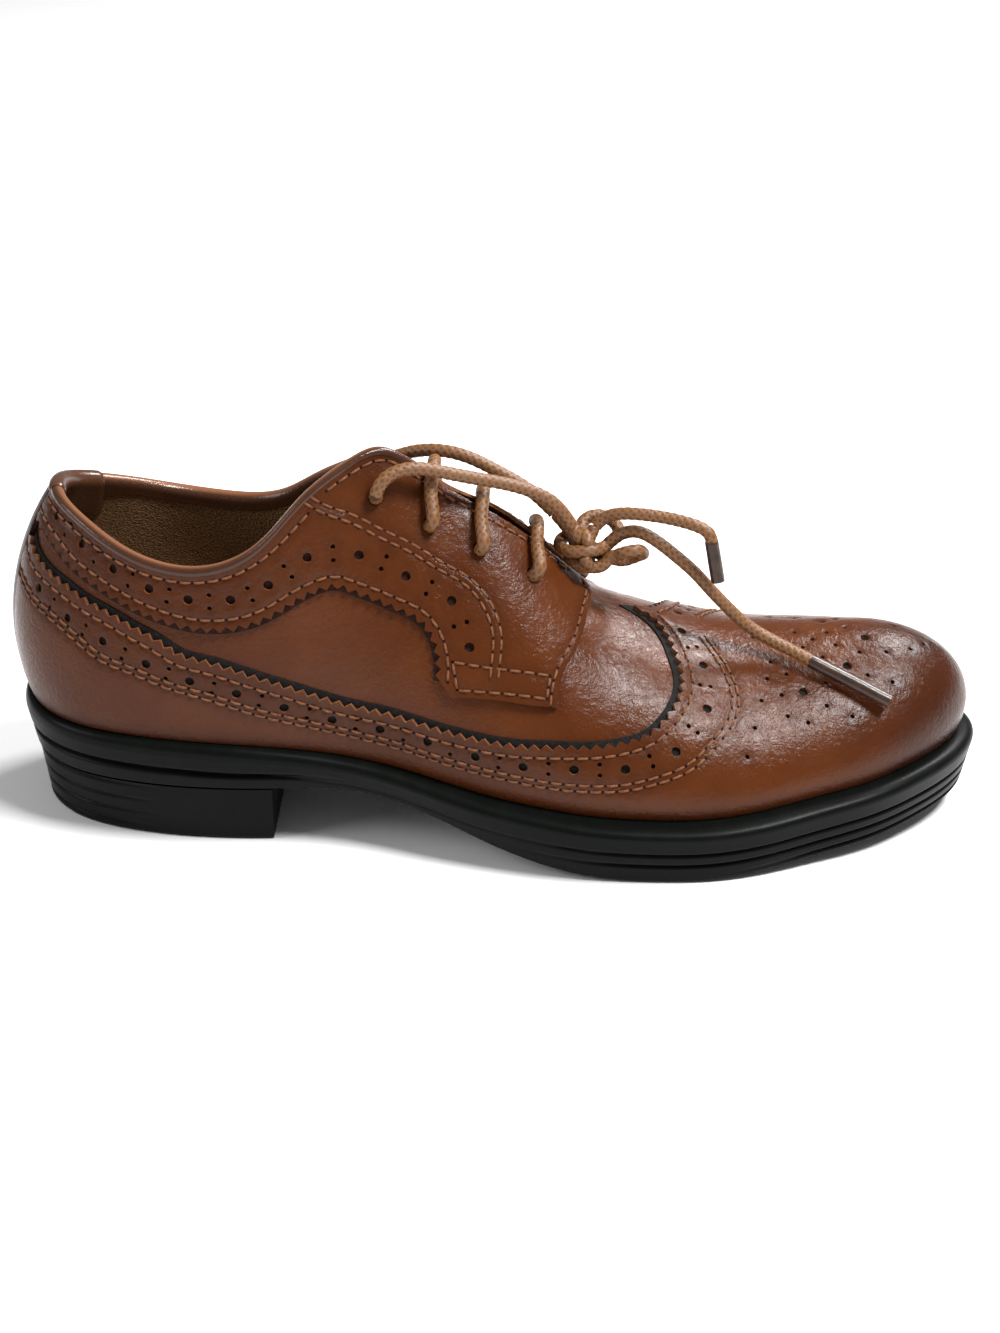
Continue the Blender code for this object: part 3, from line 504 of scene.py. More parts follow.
def grid_faces(rows, posts, turned=False):
    """Four-cornered faces over a table of points, facing one way or the other."""
    faces = []
    for i in range(rows - 1):
        for j in range(posts - 1):
            a = i * posts + j
            b = a + posts
            faces.append((a, a + 1, b + 1, b) if turned else (a, b, b + 1, a + 1))
    return faces


def tube_faces(rings, sides):
    """Faces of a tube made of rings of points, with a cap at each end."""
    faces = []
    for i in range(rings - 1):
        for j in range(sides):
            k = (j + 1) % sides
            faces.append((i * sides + j, i * sides + k, (i + 1) * sides + k, (i + 1) * sides + j))
    faces.append(tuple(reversed(range(sides))))
    faces.append(tuple((rings - 1) * sides + j for j in range(sides)))
    return faces


def ring_of(turn, first, second):
    """Points of a circle of radius 1, at angles from the first vector to the second."""
    return np.cos(turn)[:, None] * first + np.sin(turn)[:, None] * second


def paint(piece, name, values):
    """Store one number for each point, for the piece's material to read."""
    layer = piece.data.attributes.new(name, "FLOAT", "POINT")
    layer.data.foreach_set("value", np.asarray(values, np.float32))


def fade(x, start, end):
    """Smooth step from 0 at start to 1 at end."""
    share = np.clip((np.asarray(x, float) - start) / (end - start), 0.0, 1.0)
    return share * share * (3.0 - 2.0 * share)


print("soft step at a quarter:", float(fade(0.25, 0.0, 1.0)))

# %% [markdown]
# ## Materials
#
# Leather is not one colour. Wax and hand burnishing darken the toe, the seams and the heel, while
# the flanks stay light. The same painted share also lays painted shade on the upper beside the
# edges of the panels over it, and leaves a painted highlight along the top of the rolled rim. The
# fine grain is a cell pattern a little under a millimetre across. It only tilts the light, so it is
# bump, and it shows most where a soft highlight lies on it. A small kit of node functions keeps each
# recipe short.

# %% A small kit for node recipes
class Recipe:
    """A material's node tree, with short names for the nodes that are used most."""

    def __init__(self, name, roughness, specular, coat=0.0, coat_roughness=0.3):
        self.material = bpy.data.materials.new(name)
        self.material.use_nodes = True
        self.tree = self.material.node_tree
        self.shader = self.tree.nodes["Principled BSDF"]
        self.shader.inputs["Roughness"].default_value = roughness
        self.shader.inputs["Coat Weight"].default_value = coat
        self.shader.inputs["Coat Roughness"].default_value = coat_roughness
        self.shader.inputs["Specular IOR Level"].default_value = specular
        self.place = self.tree.nodes.new("ShaderNodeTexCoord").outputs["Object"]

    def put(self, value, socket):
        """Link a socket to a socket, or set its value."""
        if isinstance(value, bpy.types.NodeSocket):
            self.tree.links.new(value, socket)
        elif isinstance(value, tuple) and len(value) == 3:
            socket.default_value = (*value, 1.0)
        else:
            socket.default_value = value

    def noise(self, scale, detail=4.0, rough=0.5, distortion=0.0):
        node = self.tree.nodes.new("ShaderNodeTexNoise")
        self.put(self.place, node.inputs["Vector"])
        node.inputs["Scale"].default_value = scale
        node.inputs["Detail"].default_value = detail
        node.inputs["Roughness"].default_value = rough
        node.inputs["Distortion"].default_value = distortion
        return node.outputs["Fac"]

    def cells(self, scale, feature="F1"):
        node = self.tree.nodes.new("ShaderNodeTexVoronoi")
        node.feature = feature
        self.put(self.place, node.inputs["Vector"])
        node.inputs["Scale"].default_value = scale
        return node.outputs["Distance"]

    def painted(self, name):
        node = self.tree.nodes.new("ShaderNodeAttribute")
        node.attribute_name = name
        return node.outputs["Fac"]

    def span(self, value, low, high, out_low=0.0, out_high=1.0):
        node = self.tree.nodes.new("ShaderNodeMapRange")
        self.put(value, node.inputs["Value"])
        node.inputs["From Min"].default_value = low
        node.inputs["From Max"].default_value = high
        node.inputs["To Min"].default_value = out_low
        node.inputs["To Max"].default_value = out_high
        return node.outputs["Result"]

    def sum(self, first, second, kind="ADD"):
        node = self.tree.nodes.new("ShaderNodeMath")
        node.operation = kind
        self.put(first, node.inputs[0])
        self.put(second, node.inputs[1])
        return node.outputs[0]

    def blend(self, share, first, second):
        node = self.tree.nodes.new("ShaderNodeMix")
        node.data_type = "RGBA"
        self.put(share, node.inputs["Factor"])
        self.put(first, node.inputs["A"])
        self.put(second, node.inputs["B"])
        return node.outputs["Result"]

    def bump(self, height, distance, strength=1.0, after=None):
        node = self.tree.nodes.new("ShaderNodeBump")
        self.put(height, node.inputs["Height"])
        node.inputs["Distance"].default_value = distance
        node.inputs["Strength"].default_value = strength
        if after is not None:
            self.put(after, node.inputs["Normal"])
        return node.outputs["Normal"]

    def done(self, colour, normal, roughness=None):
        self.put(colour, self.shader.inputs["Base Color"])
        self.put(normal, self.shader.inputs["Normal"])
        self.put(normal, self.shader.inputs["Coat Normal"])
        if roughness is not None:
            self.put(roughness, self.shader.inputs["Roughness"])
        return self.material


print("recipes have", len([name for name in dir(Recipe) if name[0] != "_"]), "short names")

# %% Leather finishes
def leather_finish(name, light, dark, burnt_and_shaded, coat=0.11, roughness=0.29, grain=1.0):
    """Waxed leather: three tones, cell grain, fine creases, and a share painted on the mesh that blends in
    the dark tone, for burnish and for painted shade and highlight.
    """
    mix = Recipe(name, roughness, coat=coat, coat_roughness=0.17, specular=0.13)
    cloud = mix.noise(38.0, 4.0, 0.55)
    mottle = mix.noise(420.0, 3.0, 0.6)
    tone = mix.blend(mix.span(cloud, 0.3, 0.72), dark, light)
    tone = mix.blend(mix.span(mottle, 0.35, 0.75, 0.0, 0.25), tone, dark)
    tone = mix.blend(mix.painted("burnish_and_painted_light"), tone, burnt_and_shaded)
    pebble = mix.cells(1150.0, "SMOOTH_F1")
    fine = mix.cells(2600.0)
    crease = mix.noise(430.0, 5.0, 0.62, 1.1)
    relief = mix.sum(mix.sum(pebble, 0.9, "MULTIPLY"), mix.sum(fine, 0.35, "MULTIPLY"))
    normal = mix.bump(crease, 0.00030 * grain, 0.65)
    normal = mix.bump(relief, 0.00010 * grain, 0.65, after=normal)
    gloss = mix.span(mix.noise(90.0, 3.0), 0.3, 0.7, roughness - 0.05, roughness + 0.08)
    return mix.done(tone, normal, gloss)


TAN = leather_finish("tan leather", (0.106, 0.0275, 0.0054), (0.070, 0.0165, 0.0036),
                     (0.016, 0.0043, 0.0027))
# On the rolled rim the light tones are a painted highlight: the roll keeps them only along its top, and is
# painted towards the burnt tone elsewhere.
RIM = leather_finish("rolled rim leather", (0.270, 0.112, 0.050), (0.190, 0.074, 0.032),
                     (0.020, 0.006, 0.004), coat=0.4, roughness=0.28, grain=0.5)
# The tongue's tones are dark brown leather, darkened further as painted shade for the shade between the
# facings.
TONGUE_DARK_AND_SHADE = leather_finish("tongue leather", (0.040, 0.017, 0.010), (0.020, 0.009, 0.006),
                      (0.010, 0.005, 0.004), roughness=0.5)
print("leathers:", TAN.name, RIM.name, TONGUE_DARK_AND_SHADE.name)

# %% Cut edges, underlay, lining and thread
def fibre_finish(name, light, dark, scale, bump, roughness=0.85):
    """Matt fibrous stuff, such as a cut leather edge."""
    mix = Recipe(name, roughness, specular=0.07)
    tone = mix.blend(mix.span(mix.noise(scale, 5.0, 0.7), 0.32, 0.68), dark, light)
    return mix.done(tone, mix.bump(mix.noise(scale * 2.0, 4.0), bump))


def lining_finish():
    """Coarse brown textile lining: short fibres pressed together."""
    mix = Recipe("lining textile", 0.92, specular=0.15)
    weave = mix.noise(1500.0, 3.0, 0.7)
    tuft = mix.cells(1700.0)
    tone = mix.blend(mix.span(weave, 0.3, 0.7), (0.125, 0.067, 0.030), (0.300, 0.175, 0.085))
    tone = mix.blend(mix.span(mix.noise(60.0), 0.3, 0.7, 0.0, 0.35), tone, (0.150, 0.085, 0.042))
    return mix.done(tone, mix.bump(mix.sum(weave, tuft), 0.0005, 0.9))


def thread_finish(name, light, dark):
    """Sewing thread, with its fibres as fine cells."""
    mix = Recipe(name, 0.6, specular=0.35)
    tone = mix.blend(mix.span(mix.noise(900.0, 2.0), 0.3, 0.7), dark, light)
    return mix.done(tone, mix.bump(mix.cells(3200.0), 0.0002, 0.8))


PALE_EDGE = fibre_finish("cut edge, tan", (0.26, 0.105, 0.042), (0.12, 0.042, 0.018), 900.0, 0.0003)
# The dark edge material also colours the collar's sheet, there as painted shadow under the teeth.
DARK_EDGE_AND_SHADOW = fibre_finish("cut edge and painted shadow, dark", (0.050, 0.022, 0.015), (0.018, 0.010, 0.009), 900.0, 0.0003)
UNDERLAY = fibre_finish("black underlay", (0.020, 0.019, 0.018), (0.008, 0.008, 0.009), 700.0, 0.0002, 0.7)
LINING = lining_finish()
THREAD = thread_finish("tan thread", (0.220, 0.080, 0.026), (0.120, 0.040, 0.014))
# Needle holes are flat dark discs on the leather: painted shade standing in for the holes' depth.
NEEDLE_HOLE_SHADE = fibre_finish("needle_hole_shade", (0.020, 0.009, 0.007), (0.010, 0.006, 0.005), 900.0, 0.0001)
print("fibres:", PALE_EDGE.name, DARK_EDGE_AND_SHADOW.name, UNDERLAY.name, LINING.name, THREAD.name)

# %% Rubber, lace and aglet film
def rubber_finish():
    """Moulded black rubber: nearly smooth, satin, with light dust in patches."""
    mix = Recipe("black rubber", 0.33, coat=0.02, coat_roughness=0.2, specular=0.06)
    dust = mix.span(mix.noise(140.0, 5.0, 0.6), 0.45, 0.8, 0.0, 0.18)
    tone = mix.blend(dust, (0.0034, 0.0042, 0.0036), (0.011, 0.013, 0.011))
    relief = mix.bump(mix.noise(1300.0, 3.0), 0.00006, 0.5)
    return mix.done(tone, relief, mix.span(mix.noise(70.0), 0.3, 0.7, 0.30, 0.44))


def lace_finish():
    """Waxed cotton, golden on the crowns of the braid, with painted shade darkening its grooves."""
    mix = Recipe("waxed lace", 0.5, coat=0.25, coat_roughness=0.35, specular=0.4)
    crown = mix.painted("crown")
    tone = mix.blend(crown, (0.050, 0.018, 0.006), (0.225, 0.093, 0.025))
    tone = mix.blend(mix.span(mix.noise(500.0, 4.0), 0.35, 0.7, 0.0, 0.45), tone, (0.14, 0.058, 0.020))
    yarn = mix.bump(mix.noise(3500.0, 2.0, 0.7), 0.00012, 0.7)
    return mix.done(tone, yarn)


def film_finish():
    """Shrunk film of the aglets: dark, glossy, a little uneven."""
    mix = Recipe("aglet film", 0.34, coat=0.25, coat_roughness=0.2, specular=0.3)
    cloud = mix.span(mix.noise(260.0, 3.0), 0.3, 0.7)
    tone = mix.blend(cloud, (0.022, 0.010, 0.007), (0.055, 0.026, 0.016))
    return mix.done(tone, mix.bump(mix.noise(420.0, 3.0), 0.0002, 0.4))


RUBBER = rubber_finish()
LACE = lace_finish()
FILM = film_finish()
print("and", RUBBER.name, LACE.name, FILM.name)

# %% [markdown]
# ## Cutting a panel
#
# A panel is a flat piece of the pattern: an outline, some holes, and leather between. The outline
# and the holes are handed to a triangulation that keeps every edge and drops what lies outside or
# inside a hole. Each point is then carried onto the last, once at the top of the leather and once
# underneath, and a wall closes the two along every cut. That is how a real cut edge shows. Boolean
# cuts would do the same on a finished mesh, but slowly, and with hundreds of holes not safely.

# %% The cutting table
STATIONS = np.arange(TOE + 1)
STATION_PLACES = RING_AT[:TOE + 1]
SEAM = float(TOE)
TABLE_HEIGHT = 60.0      # millimetres on the cutting table for the whole height of the wall


def flat(points):
    """Pattern points as millimetres on the cutting table."""
    points = np.asarray(points, float)
    along = np.interp(points[:, 0], STATIONS, STATION_PLACES) / MM
    return np.column_stack([along, TABLE_HEIGHT * points[:, 1]])


def from_flat(points):
    """Pattern points from millimetres on the cutting table."""
    stations = np.interp(points[:, 0], STATION_PLACES / MM, STATIONS)
    return np.column_stack([stations, points[:, 1] / TABLE_HEIGHT])


def tree_of(points):
    """Tree for finding the nearest of many points."""
    tree = KDTree(len(points))
    for number, point in enumerate(points):
        tree.insert(Vector(point), number)
    tree.balance()
    return tree


def distance_to(points, tree):
    return np.array([tree.find(Vector(point))[2] for point in points])


print("cutting table:", np.round(flat([(18.0, 1.0)])[0]), "mm")

# %% Holes on the cutting table
HOLE_COLLAR = 0.0004     # width of the ring of leather points round a hole


def rings_round(holes, margin=0.0):
    """Pattern points round each hole, a margin outside its edge."""
    centres = np.array([centre for centre, _ in holes])
    by_u, by_v = slopes(centres[:, 0], centres[:, 1])
    loops = []
    for centre, (_, radius), run_u, run_v in zip(centres, holes, by_u, by_v):
        first = run_u / np.linalg.norm(run_u)
        second = run_v - first * (run_v @ first)
        second /= np.linalg.norm(second)
        turn = np.linspace(0.0, 2.0 * math.pi, 14 if radius > 0.001 else 10, endpoint=False)
        shift = (radius + margin) * ring_of(turn, first, second)
        steps = np.linalg.lstsq(np.column_stack([run_u, run_v]), shift.T, rcond=None)[0]
        loops.append(centre + steps.T)
    return loops


def punched(holes):
    """Outlines of holes, and the rings of leather round them."""
    if not holes:
        return [], []
    return rings_round(holes), rings_round(holes, HOLE_COLLAR)


def inside_holes(places, faces, holes):
    """Which faces lie in a hole: their middle is a little nearer than the hole's radius."""
    centres = np.array([centre for centre, _ in holes])
    radii = np.array([radius for _, radius in holes])
    tree = tree_of(leather(centres[:, 0], centres[:, 1]))
    middles = np.array([places[list(face)].mean(axis=0) for face in faces])
    answers = []
    for point in leather(middles[:, 0], middles[:, 1]):
        _, nearest, gap = tree.find(Vector(point))
        answers.append(gap < 0.98 * radii[nearest])
    return answers


print("a small hole has", len(rings_round([((9.0, -0.5), 0.0006)])[0]), "corners")

# %% Triangles of a panel
def cut(outline, holes, extra, step):
    """Pattern points and triangles of a panel with holes, filled with an even grid of points."""
    loops = [np.asarray(outline)] + punched(holes)[0]
    fixed = np.vstack(loops + [np.asarray(points) for points in extra])
    table = flat(fixed)
    low = table.min(axis=0)
    high = table.max(axis=0)
    row_step = 0.87 * step
    across, up = np.meshgrid(np.arange(low[0], high[0], step), np.arange(low[1], high[1], row_step))
    across[1::2] += 0.5 * step
    filling = np.column_stack([across.ravel(), up.ravel()])
    tree = tree_of(np.column_stack([table, np.zeros(len(table))]))
    gap = distance_to(np.column_stack([filling, np.zeros(len(filling))]), tree)
    filling = filling[gap > 0.6 * step]
    places = np.vstack([fixed, from_flat(filling)])
    edges = []
    start = 0
    for loop in loops:
        edges += [(start + i, start + (i + 1) % len(loop)) for i in range(len(loop))]
        start += len(loop)
    corners = [Vector(point) for point in np.vstack([table, filling])]
    result = delaunay_2d_cdt(corners, edges, [], 1, 1e-5)
    originals = np.array([places[from_[0]] for from_ in result[3]])
    originals[:, 1] = np.where(np.abs(originals[:, 1]) < EDGE, EDGE, originals[:, 1])
    faces = [tuple(face) for face in result[2]]
    if holes:
        gone = inside_holes(originals, faces, holes)
        faces = [face for face, drop in zip(faces, gone) if not drop]
    return only_used(originals, faces)


def only_used(places, faces):
    """Leave out the points that no face uses."""
    used = sorted({corner for face in faces for corner in face})
    number = {corner: i for i, corner in enumerate(used)}
    return places[used], [tuple(number[corner] for corner in face) for face in faces]


def weld_seam(places, faces):
    """Join both sides of a panel along the toe tip, where they meet."""
    partner = {round(-v, 6): i for i, (u, v) in enumerate(places) if u > SEAM - 1e-6 and v < 0}
    swap = {i: partner[round(v, 6)] for i, (u, v) in enumerate(places)
            if u > SEAM - 1e-6 and v > 0 and round(v, 6) in partner}
    return only_used(places, [tuple(swap.get(corner, corner) for corner in face) for face in faces])


def close(outer, inner, faces):
    """Points and faces of a closed shell, and which faces are the cut edges."""
    count = len(outer)
    edges = {(a, b) for face in faces for a, b in zip(face, face[1:] + face[:1])}
    walls = [(b, a, a + count, b + count) for a, b in edges if (b, a) not in edges]
    solid = faces + [tuple(corner + count for corner in reversed(face)) for face in faces] + walls
    kinds = [0] * len(faces) + [1] * (len(faces) + len(walls))
    return np.vstack([outer, inner]), solid, kinds


SQUARE = np.zeros((4, 3))
print("closing one square gives", len(close(SQUARE, SQUARE, [(0, 1, 2, 3)])[1]), "faces")

# %% [markdown]
# ## Lines on the leather
#
# Everything on a brogue follows a few lines: the pinked edges, the rows of stitches, the rows of
# holes. They were read off the shoe as station and height on the wall. The far side of the
# shoe repeats the near side. The toe's ornament was read off from above, in millimetres.

# %% Lines of wing, collar and facing
WING_PINKED = ((0.45, 0.765), (0.82, 0.73), (1.26, 0.70), (1.80, 0.68), (2.26, 0.66), (2.70, 0.65),
               (3.14, 0.62), (3.50, 0.58), (3.82, 0.52), (4.13, 0.49), (4.84, 0.39), (5.53, 0.30),
               (6.12, 0.25), (6.88, 0.235), (7.95, 0.225), (8.61, 0.235), (9.24, 0.25), (9.83, 0.275),
               (10.38, 0.30), (11.00, 0.345), (11.41, 0.39), (11.85, 0.47), (12.18, 0.55), (12.43, 0.65),
               (12.53, 0.76), (12.55, 0.88), (12.43, 0.96), (12.15, 1.0))
WING_DOUBLE = ((0.47, 0.615), (0.72, 0.60), (1.22, 0.56), (1.81, 0.53), (2.32, 0.48), (2.65, 0.44),
               (3.19, 0.41), (3.68, 0.36), (4.13, 0.32), (4.82, 0.23), (5.49, 0.17), (6.20, 0.14),
               (7.12, 0.13), (7.84, 0.125), (8.48, 0.13), (9.10, 0.135), (9.66, 0.14), (10.23, 0.155),
               (10.79, 0.18), (11.26, 0.22), (11.76, 0.27), (12.02, 0.31), (12.40, 0.38), (12.79, 0.46),
               (13.09, 0.56), (13.20, 0.64), (13.23, 0.76), (13.19, 0.89), (12.98, 1.0))
WING_HOLES = ((1.26, 0.62), (2.01, 0.56), (2.65, 0.52), (3.35, 0.46), (3.99, 0.39), (4.64, 0.32),
              (5.29, 0.24), (5.94, 0.19), (6.77, 0.18), (7.67, 0.18), (8.50, 0.18), (9.26, 0.19),
              (10.04, 0.22), (10.81, 0.25), (11.71, 0.34), (12.54, 0.52), (12.88, 0.72), (12.86, 0.91))
COLLAR_PINKED = ((0.45, 0.865), (0.68, 0.86), (1.27, 0.84), (1.79, 0.80), (2.24, 0.78), (2.86, 0.76),
                 (3.27, 0.74), (3.63, 0.72), (3.96, 0.70), (4.34, 0.68), (4.99, 0.66), (5.76, 0.66),
                 (6.03, 0.655), (6.47, 0.64), (6.78, 0.61), (7.18, 0.58), (7.75, 0.55), (8.10, 0.54),
                 (8.30, 0.52), (8.38, 0.48), (8.34, 0.43), (8.25, 0.385))
COLLAR_HOLES = ((1.18, 0.935), (2.01, 0.905), (2.66, 0.885), (3.29, 0.865), (3.89, 0.84), (4.54, 0.805),
                (5.20, 0.78), (5.96, 0.765), (7.03, 0.69), (8.07, 0.63), (8.88, 0.62), (8.97, 0.51))
BEAD = ((6.00, 0.995), (6.21, 0.93), (6.88, 0.81), (7.66, 0.73), (8.36, 0.71), (8.80, 0.703),
        (9.20, 0.70), (9.44, 0.67), (9.53, 0.62), (9.50, 0.56), (9.39, 0.51), (9.24, 0.445))
FRONT = ((10.88, 0.997), (11.08, 0.975), (11.13, 0.92), (11.05, 0.83), (10.92, 0.75), (10.72, 0.65),
         (10.42, 0.55), (10.22, 0.475), (10.10, 0.415))
TAB_LOW = ((10.10, 0.415), (9.68, 0.400), (9.24, 0.390), (8.75, 0.370), (8.25, 0.345))
EYELETS = ((7.64, 0.83), (8.75, 0.81), (9.59, 0.82), (10.27, 0.82))
START = {-1: float(station_at(0.5 * BACKSTAY_WIDTH)),
         1: float(station_at(RING_LENGTH - 0.5 * BACKSTAY_WIDTH))}
FACING_END = 10.88       # station of the facings' front corners
PINK_PITCH = 0.0032
PINK_DEPTH = 0.0014
BIG_HOLE = 0.00125       # radii of the punched holes
SMALL_HOLE = 0.00062
EYELET_HOLE = 0.0019
WING_SPREAD = 0.0014     # a small hole's distance from its row
COLLAR_SPREAD = 0.0017


def lifted(line, side, distance):
    """A heel-to-toe line moved up the wall."""
    return beside(line, -side * np.asarray(distance))


def pinked(rows, side, depth):
    """Zigzag along a line. The teeth point up the wall, or down it for a depth below zero."""
    line = trace(wall(rows, side), 0.5 * PINK_PITCH)
    teeth = np.where(np.arange(len(line)) % 2 == 1, depth, 0.0)
    teeth[0] = 0.0
    teeth[-1] = 0.0
    return lifted(line, side, teeth)


def stretch_of(first, last, step):
    """Pattern points on a straight run, at about even steps, without the last."""
    run = np.linspace(0.0, 1.0, 60)[:, None] * (np.array(last) - np.array(first)) + np.array(first)
    length = along_of(leather(run[:, 0], run[:, 1]))[-1]
    count = max(2, int(round(length / step)) + 1)
    share = np.linspace(0.0, 1.0, count)[:-1, None]
    return np.array(first) + share * (np.array(last) - np.array(first))


print("backstay ends at", START)

# %% Holes: one big, two small, over and over
def hole_rows(rows, side, spread):
    """Centres and radii of a row of big holes with a pair of small ones between."""
    centres = wall(rows, side)
    holes = [(tuple(centre), BIG_HOLE) for centre in centres]
    for here, there in zip(centres[:-1], centres[1:]):
        pair = trace(np.array([here, there]), 0.5 * np.linalg.norm(leather(*here) - leather(*there)))
        middle = pair[len(pair) // 2][None, :]
        ahead = leather(*there) - leather(*here)
        normal = surface_normal(*place(*middle[0]))
        left = np.cross(normal, ahead)
        left /= np.linalg.norm(left)
        for sign in (-1.0, 1.0):
            u, v = nudge(middle[:, 0], middle[:, 1], (sign * spread * left)[None, :])
            holes.append(((float(u[0]), float(v[0])), SMALL_HOLE))
    return holes


print("holes along the wing:", len(hole_rows(WING_HOLES, -1, WING_SPREAD)), "on a side")

# %% The toe's ornament
# Places on the near half of the toe, and sizes as shares of the small hole.
MEDALLION = ((77.7, -17.1, 2), (89.6, -8.8, 2), (95.0, 1.1, 2), (84.4, 9.8, 2), (65.8, 0.8, 1.6),
             (71.2, 14.3, 1), (77.5, 12.9, 1), (88.3, 11.6, 1), (90.0, 5.7, 1), (85.1, 3.2, 1),
             (76.6, 3.1, 1), (81.1, 0.1, 1), (78.3, -3.2, 1), (87.0, -2.0, 1), (83.3, -6.5, 1),
             (93.1, -4.2, 1), (100.2, -3.6, 1), (106.9, -1.0, 1), (111.0, 3.0, 1), (103.6, 9.0, 1),
             (94.8, -10.8, 1), (101.3, -11.4, 1), (69.6, -8.8, 1), (73.5, -12.4, 1), (68.5, -14.2, 1),
             (83.7, -14.2, 1), (72.0, -18.4, 1), (66.7, -20.6, 1), (83.6, -20.1, 1), (90.2, -21.5, 1),
             (73.4, -23.6, 1), (78.6, -24.4, 1), (64.8, -27.7, 1), (62.7, -34.1, 1))
MIRROR_SUM = 0.0112      # y of a place and of its mirror image, added up
MIRRORED_BELOW = -0.012
PUNCH_MISS = 0.0006


def pattern_at(x, y):
    """Pattern places that lie under points of the toe, seen from above."""
    stations = np.linspace(11.5, 17.9, 40)
    ridge = last_surface(round_at(stations, -1), 1.0)
    u = np.interp(x, ridge[:, 0], stations)
    v = np.clip((y - 0.0055) / 0.045, -0.8, 0.8)
    v = np.where(np.abs(v) < 0.01, 0.01, v)
    for _ in range(25):
        miss = np.column_stack([x, y]) - leather(u, v)[:, :2]
        by_u, by_v = slopes(u, v)
        room = by_u[:, 0] * by_v[:, 1] - by_u[:, 1] * by_v[:, 0]
        step_u = (miss[:, 0] * by_v[:, 1] - miss[:, 1] * by_v[:, 0]) / room
        step_v = (miss[:, 1] * by_u[:, 0] - miss[:, 0] * by_u[:, 1]) / room
        u = np.clip(u + np.clip(step_u, -0.3, 0.3), 11.5, 17.93)
        v = np.clip(v + np.clip(step_v, -0.1, 0.1), -0.9, 0.9)
    return u, v


def medallion():
    """The toe's ornament: the near half as punched, and its mirror image on the far side."""
    spots = []
    for x, y, size in MEDALLION:
        spots.append((x * MM, y * MM, size))
    far = [(x, MIRROR_SUM - y, size) for x, y, size in spots if y < MIRRORED_BELOW]
    table = np.array(spots + far)
    u, v = pattern_at(table[:, 0], table[:, 1])
    miss = np.linalg.norm(leather(u, v)[:, :2] - table[:, :2], axis=1)
    good = miss < PUNCH_MISS
    print("medallion holes:", int(good.sum()), "of", len(good))
    return [((float(a), float(b)), SMALL_HOLE * float(size))
            for a, b, size, fine in zip(u, v, table[:, 2], good) if fine]


WING_PUNCH = []
COLLAR_PUNCH = {}
for side in (-1, 1):
    WING_PUNCH += hole_rows(WING_HOLES, side, WING_SPREAD)
    COLLAR_PUNCH[side] = hole_rows(COLLAR_HOLES, side, COLLAR_SPREAD)
WING_PUNCH += medallion()
print("holes in the wing:", len(WING_PUNCH), "and in each collar:", len(COLLAR_PUNCH[-1]))

# %% Rows of stitches
def row_of(rows, side, distance=0.0):
    """Fine line of a stitch row, moved up the wall by a distance."""
    line = trace(wall(rows, side), 0.0006)
    line = lifted(line, side, distance) if distance else line
    return line[side * line[:, 1] > 0.004]


WING_ROWS = []
QUARTER_ROWS = {}
ROW_GAP = 0.0010
for side in (-1, 1):
    WING_ROWS.append(row_of(WING_PINKED[:-1], side, -0.0020))
    WING_ROWS.append(row_of(WING_DOUBLE[:-1], side, -0.8 * ROW_GAP))
    WING_ROWS.append(row_of(WING_DOUBLE[:-1], side, 0.8 * ROW_GAP))
    QUARTER_ROWS[side] = [
        row_of(COLLAR_PINKED, side, 0.0018),
        row_of(BEAD, side, -ROW_GAP),
        row_of(BEAD, side, ROW_GAP),
        row_of(((0.62, 0.999), (3.0, 0.999), (5.9, 0.999)), side, -0.0030),
        row_of(((6.35, 0.999), (8.0, 0.999), (9.6, 0.999), (10.75, 0.999)), side, -0.0022),
        row_of(FRONT[1:], side, -0.0019),
        row_of(((8.58, 0.452), (9.41, 0.480), (10.14, 0.505)), side),
        row_of(((8.52, 0.378), (9.30, 0.412), (9.98, 0.432)), side),
        row_of(((9.98, 0.434), (10.06, 0.468), (10.14, 0.503)), side),
        row_of(((8.52, 0.378), (8.58, 0.452)), side)]
print("stitch rows:", len(WING_ROWS) + 2 * len(QUARTER_ROWS[-1]))

# %% [markdown]
# ## Relief
#
# A row of stitches pulls the leather down into a shallow trough, and between the two rows of a
# double seam it swells up as a bead. A punched hole draws its rim down a little. Both are worked
# out from the distance to the lines, so they follow every curve. A bump texture would look the same
# from the front, but here the outline shows the seams too.

# %% Relief of stitches and beads
STITCH_TROUGH = 0.00024
TROUGH_WIDTH = 0.00075
HOLE_RIM = 0.00016
HOLE_RIM_WIDTH = 0.0004
FOLD_DROP = 0.00045
FOLD_WIDTH = 0.00055
ROW_SIDE = 0.0008        # from a stitch row to the mesh points beside it
MESH_SPACE = 0.0005      # between two mesh points


def on_leather(line):
    return leather(line[:, 0], line[:, 1])


def swell(points, tree, width):
    """A soft swelling: 1 on the tree's points, fading out over a width."""
    return np.exp(-(distance_to(points, tree) / width) ** 2)


def beside_rows(rows):
    """Points along stitch rows and close beside them, so that the mesh can follow the trough."""
    extra = []
    for row in rows:
        for line in (beside(row, -ROW_SIDE), row, beside(row, ROW_SIDE)):
            extra.append(line[3:-3:2])
    return extra


def keep_apart(groups, loops):
    """Leave out points that lie too near to the outlines or to each other."""
    tree = tree_of(np.vstack([on_leather(loop) for loop in loops]))
    kept = []
    seen = set()
    for group in groups:
        points = on_leather(group)
        far = distance_to(points, tree) > MESH_SPACE
        for spot, point, fine in zip(group, points, far):
            cell = tuple(np.floor(point / MESH_SPACE).astype(int))
            if fine and cell not in seen:
                seen.add(cell)
                kept.append(spot)
    return [np.array(kept)]


def flap_rise(u, v):
    """Height by which the facings' front corners stand off the vamp."""
    forward = fade(u, FLAP_FROM, FLAP_FROM + FLAP_RUN)
    upper = np.clip((1.0 - np.abs(v) - 0.5) / 0.4, 0.0, 1.0)
    return FLAP_LIFT * forward * upper


print("a facing's corner stands off", round(float(flap_rise(10.8, -0.02)) / MM, 1), "mm")
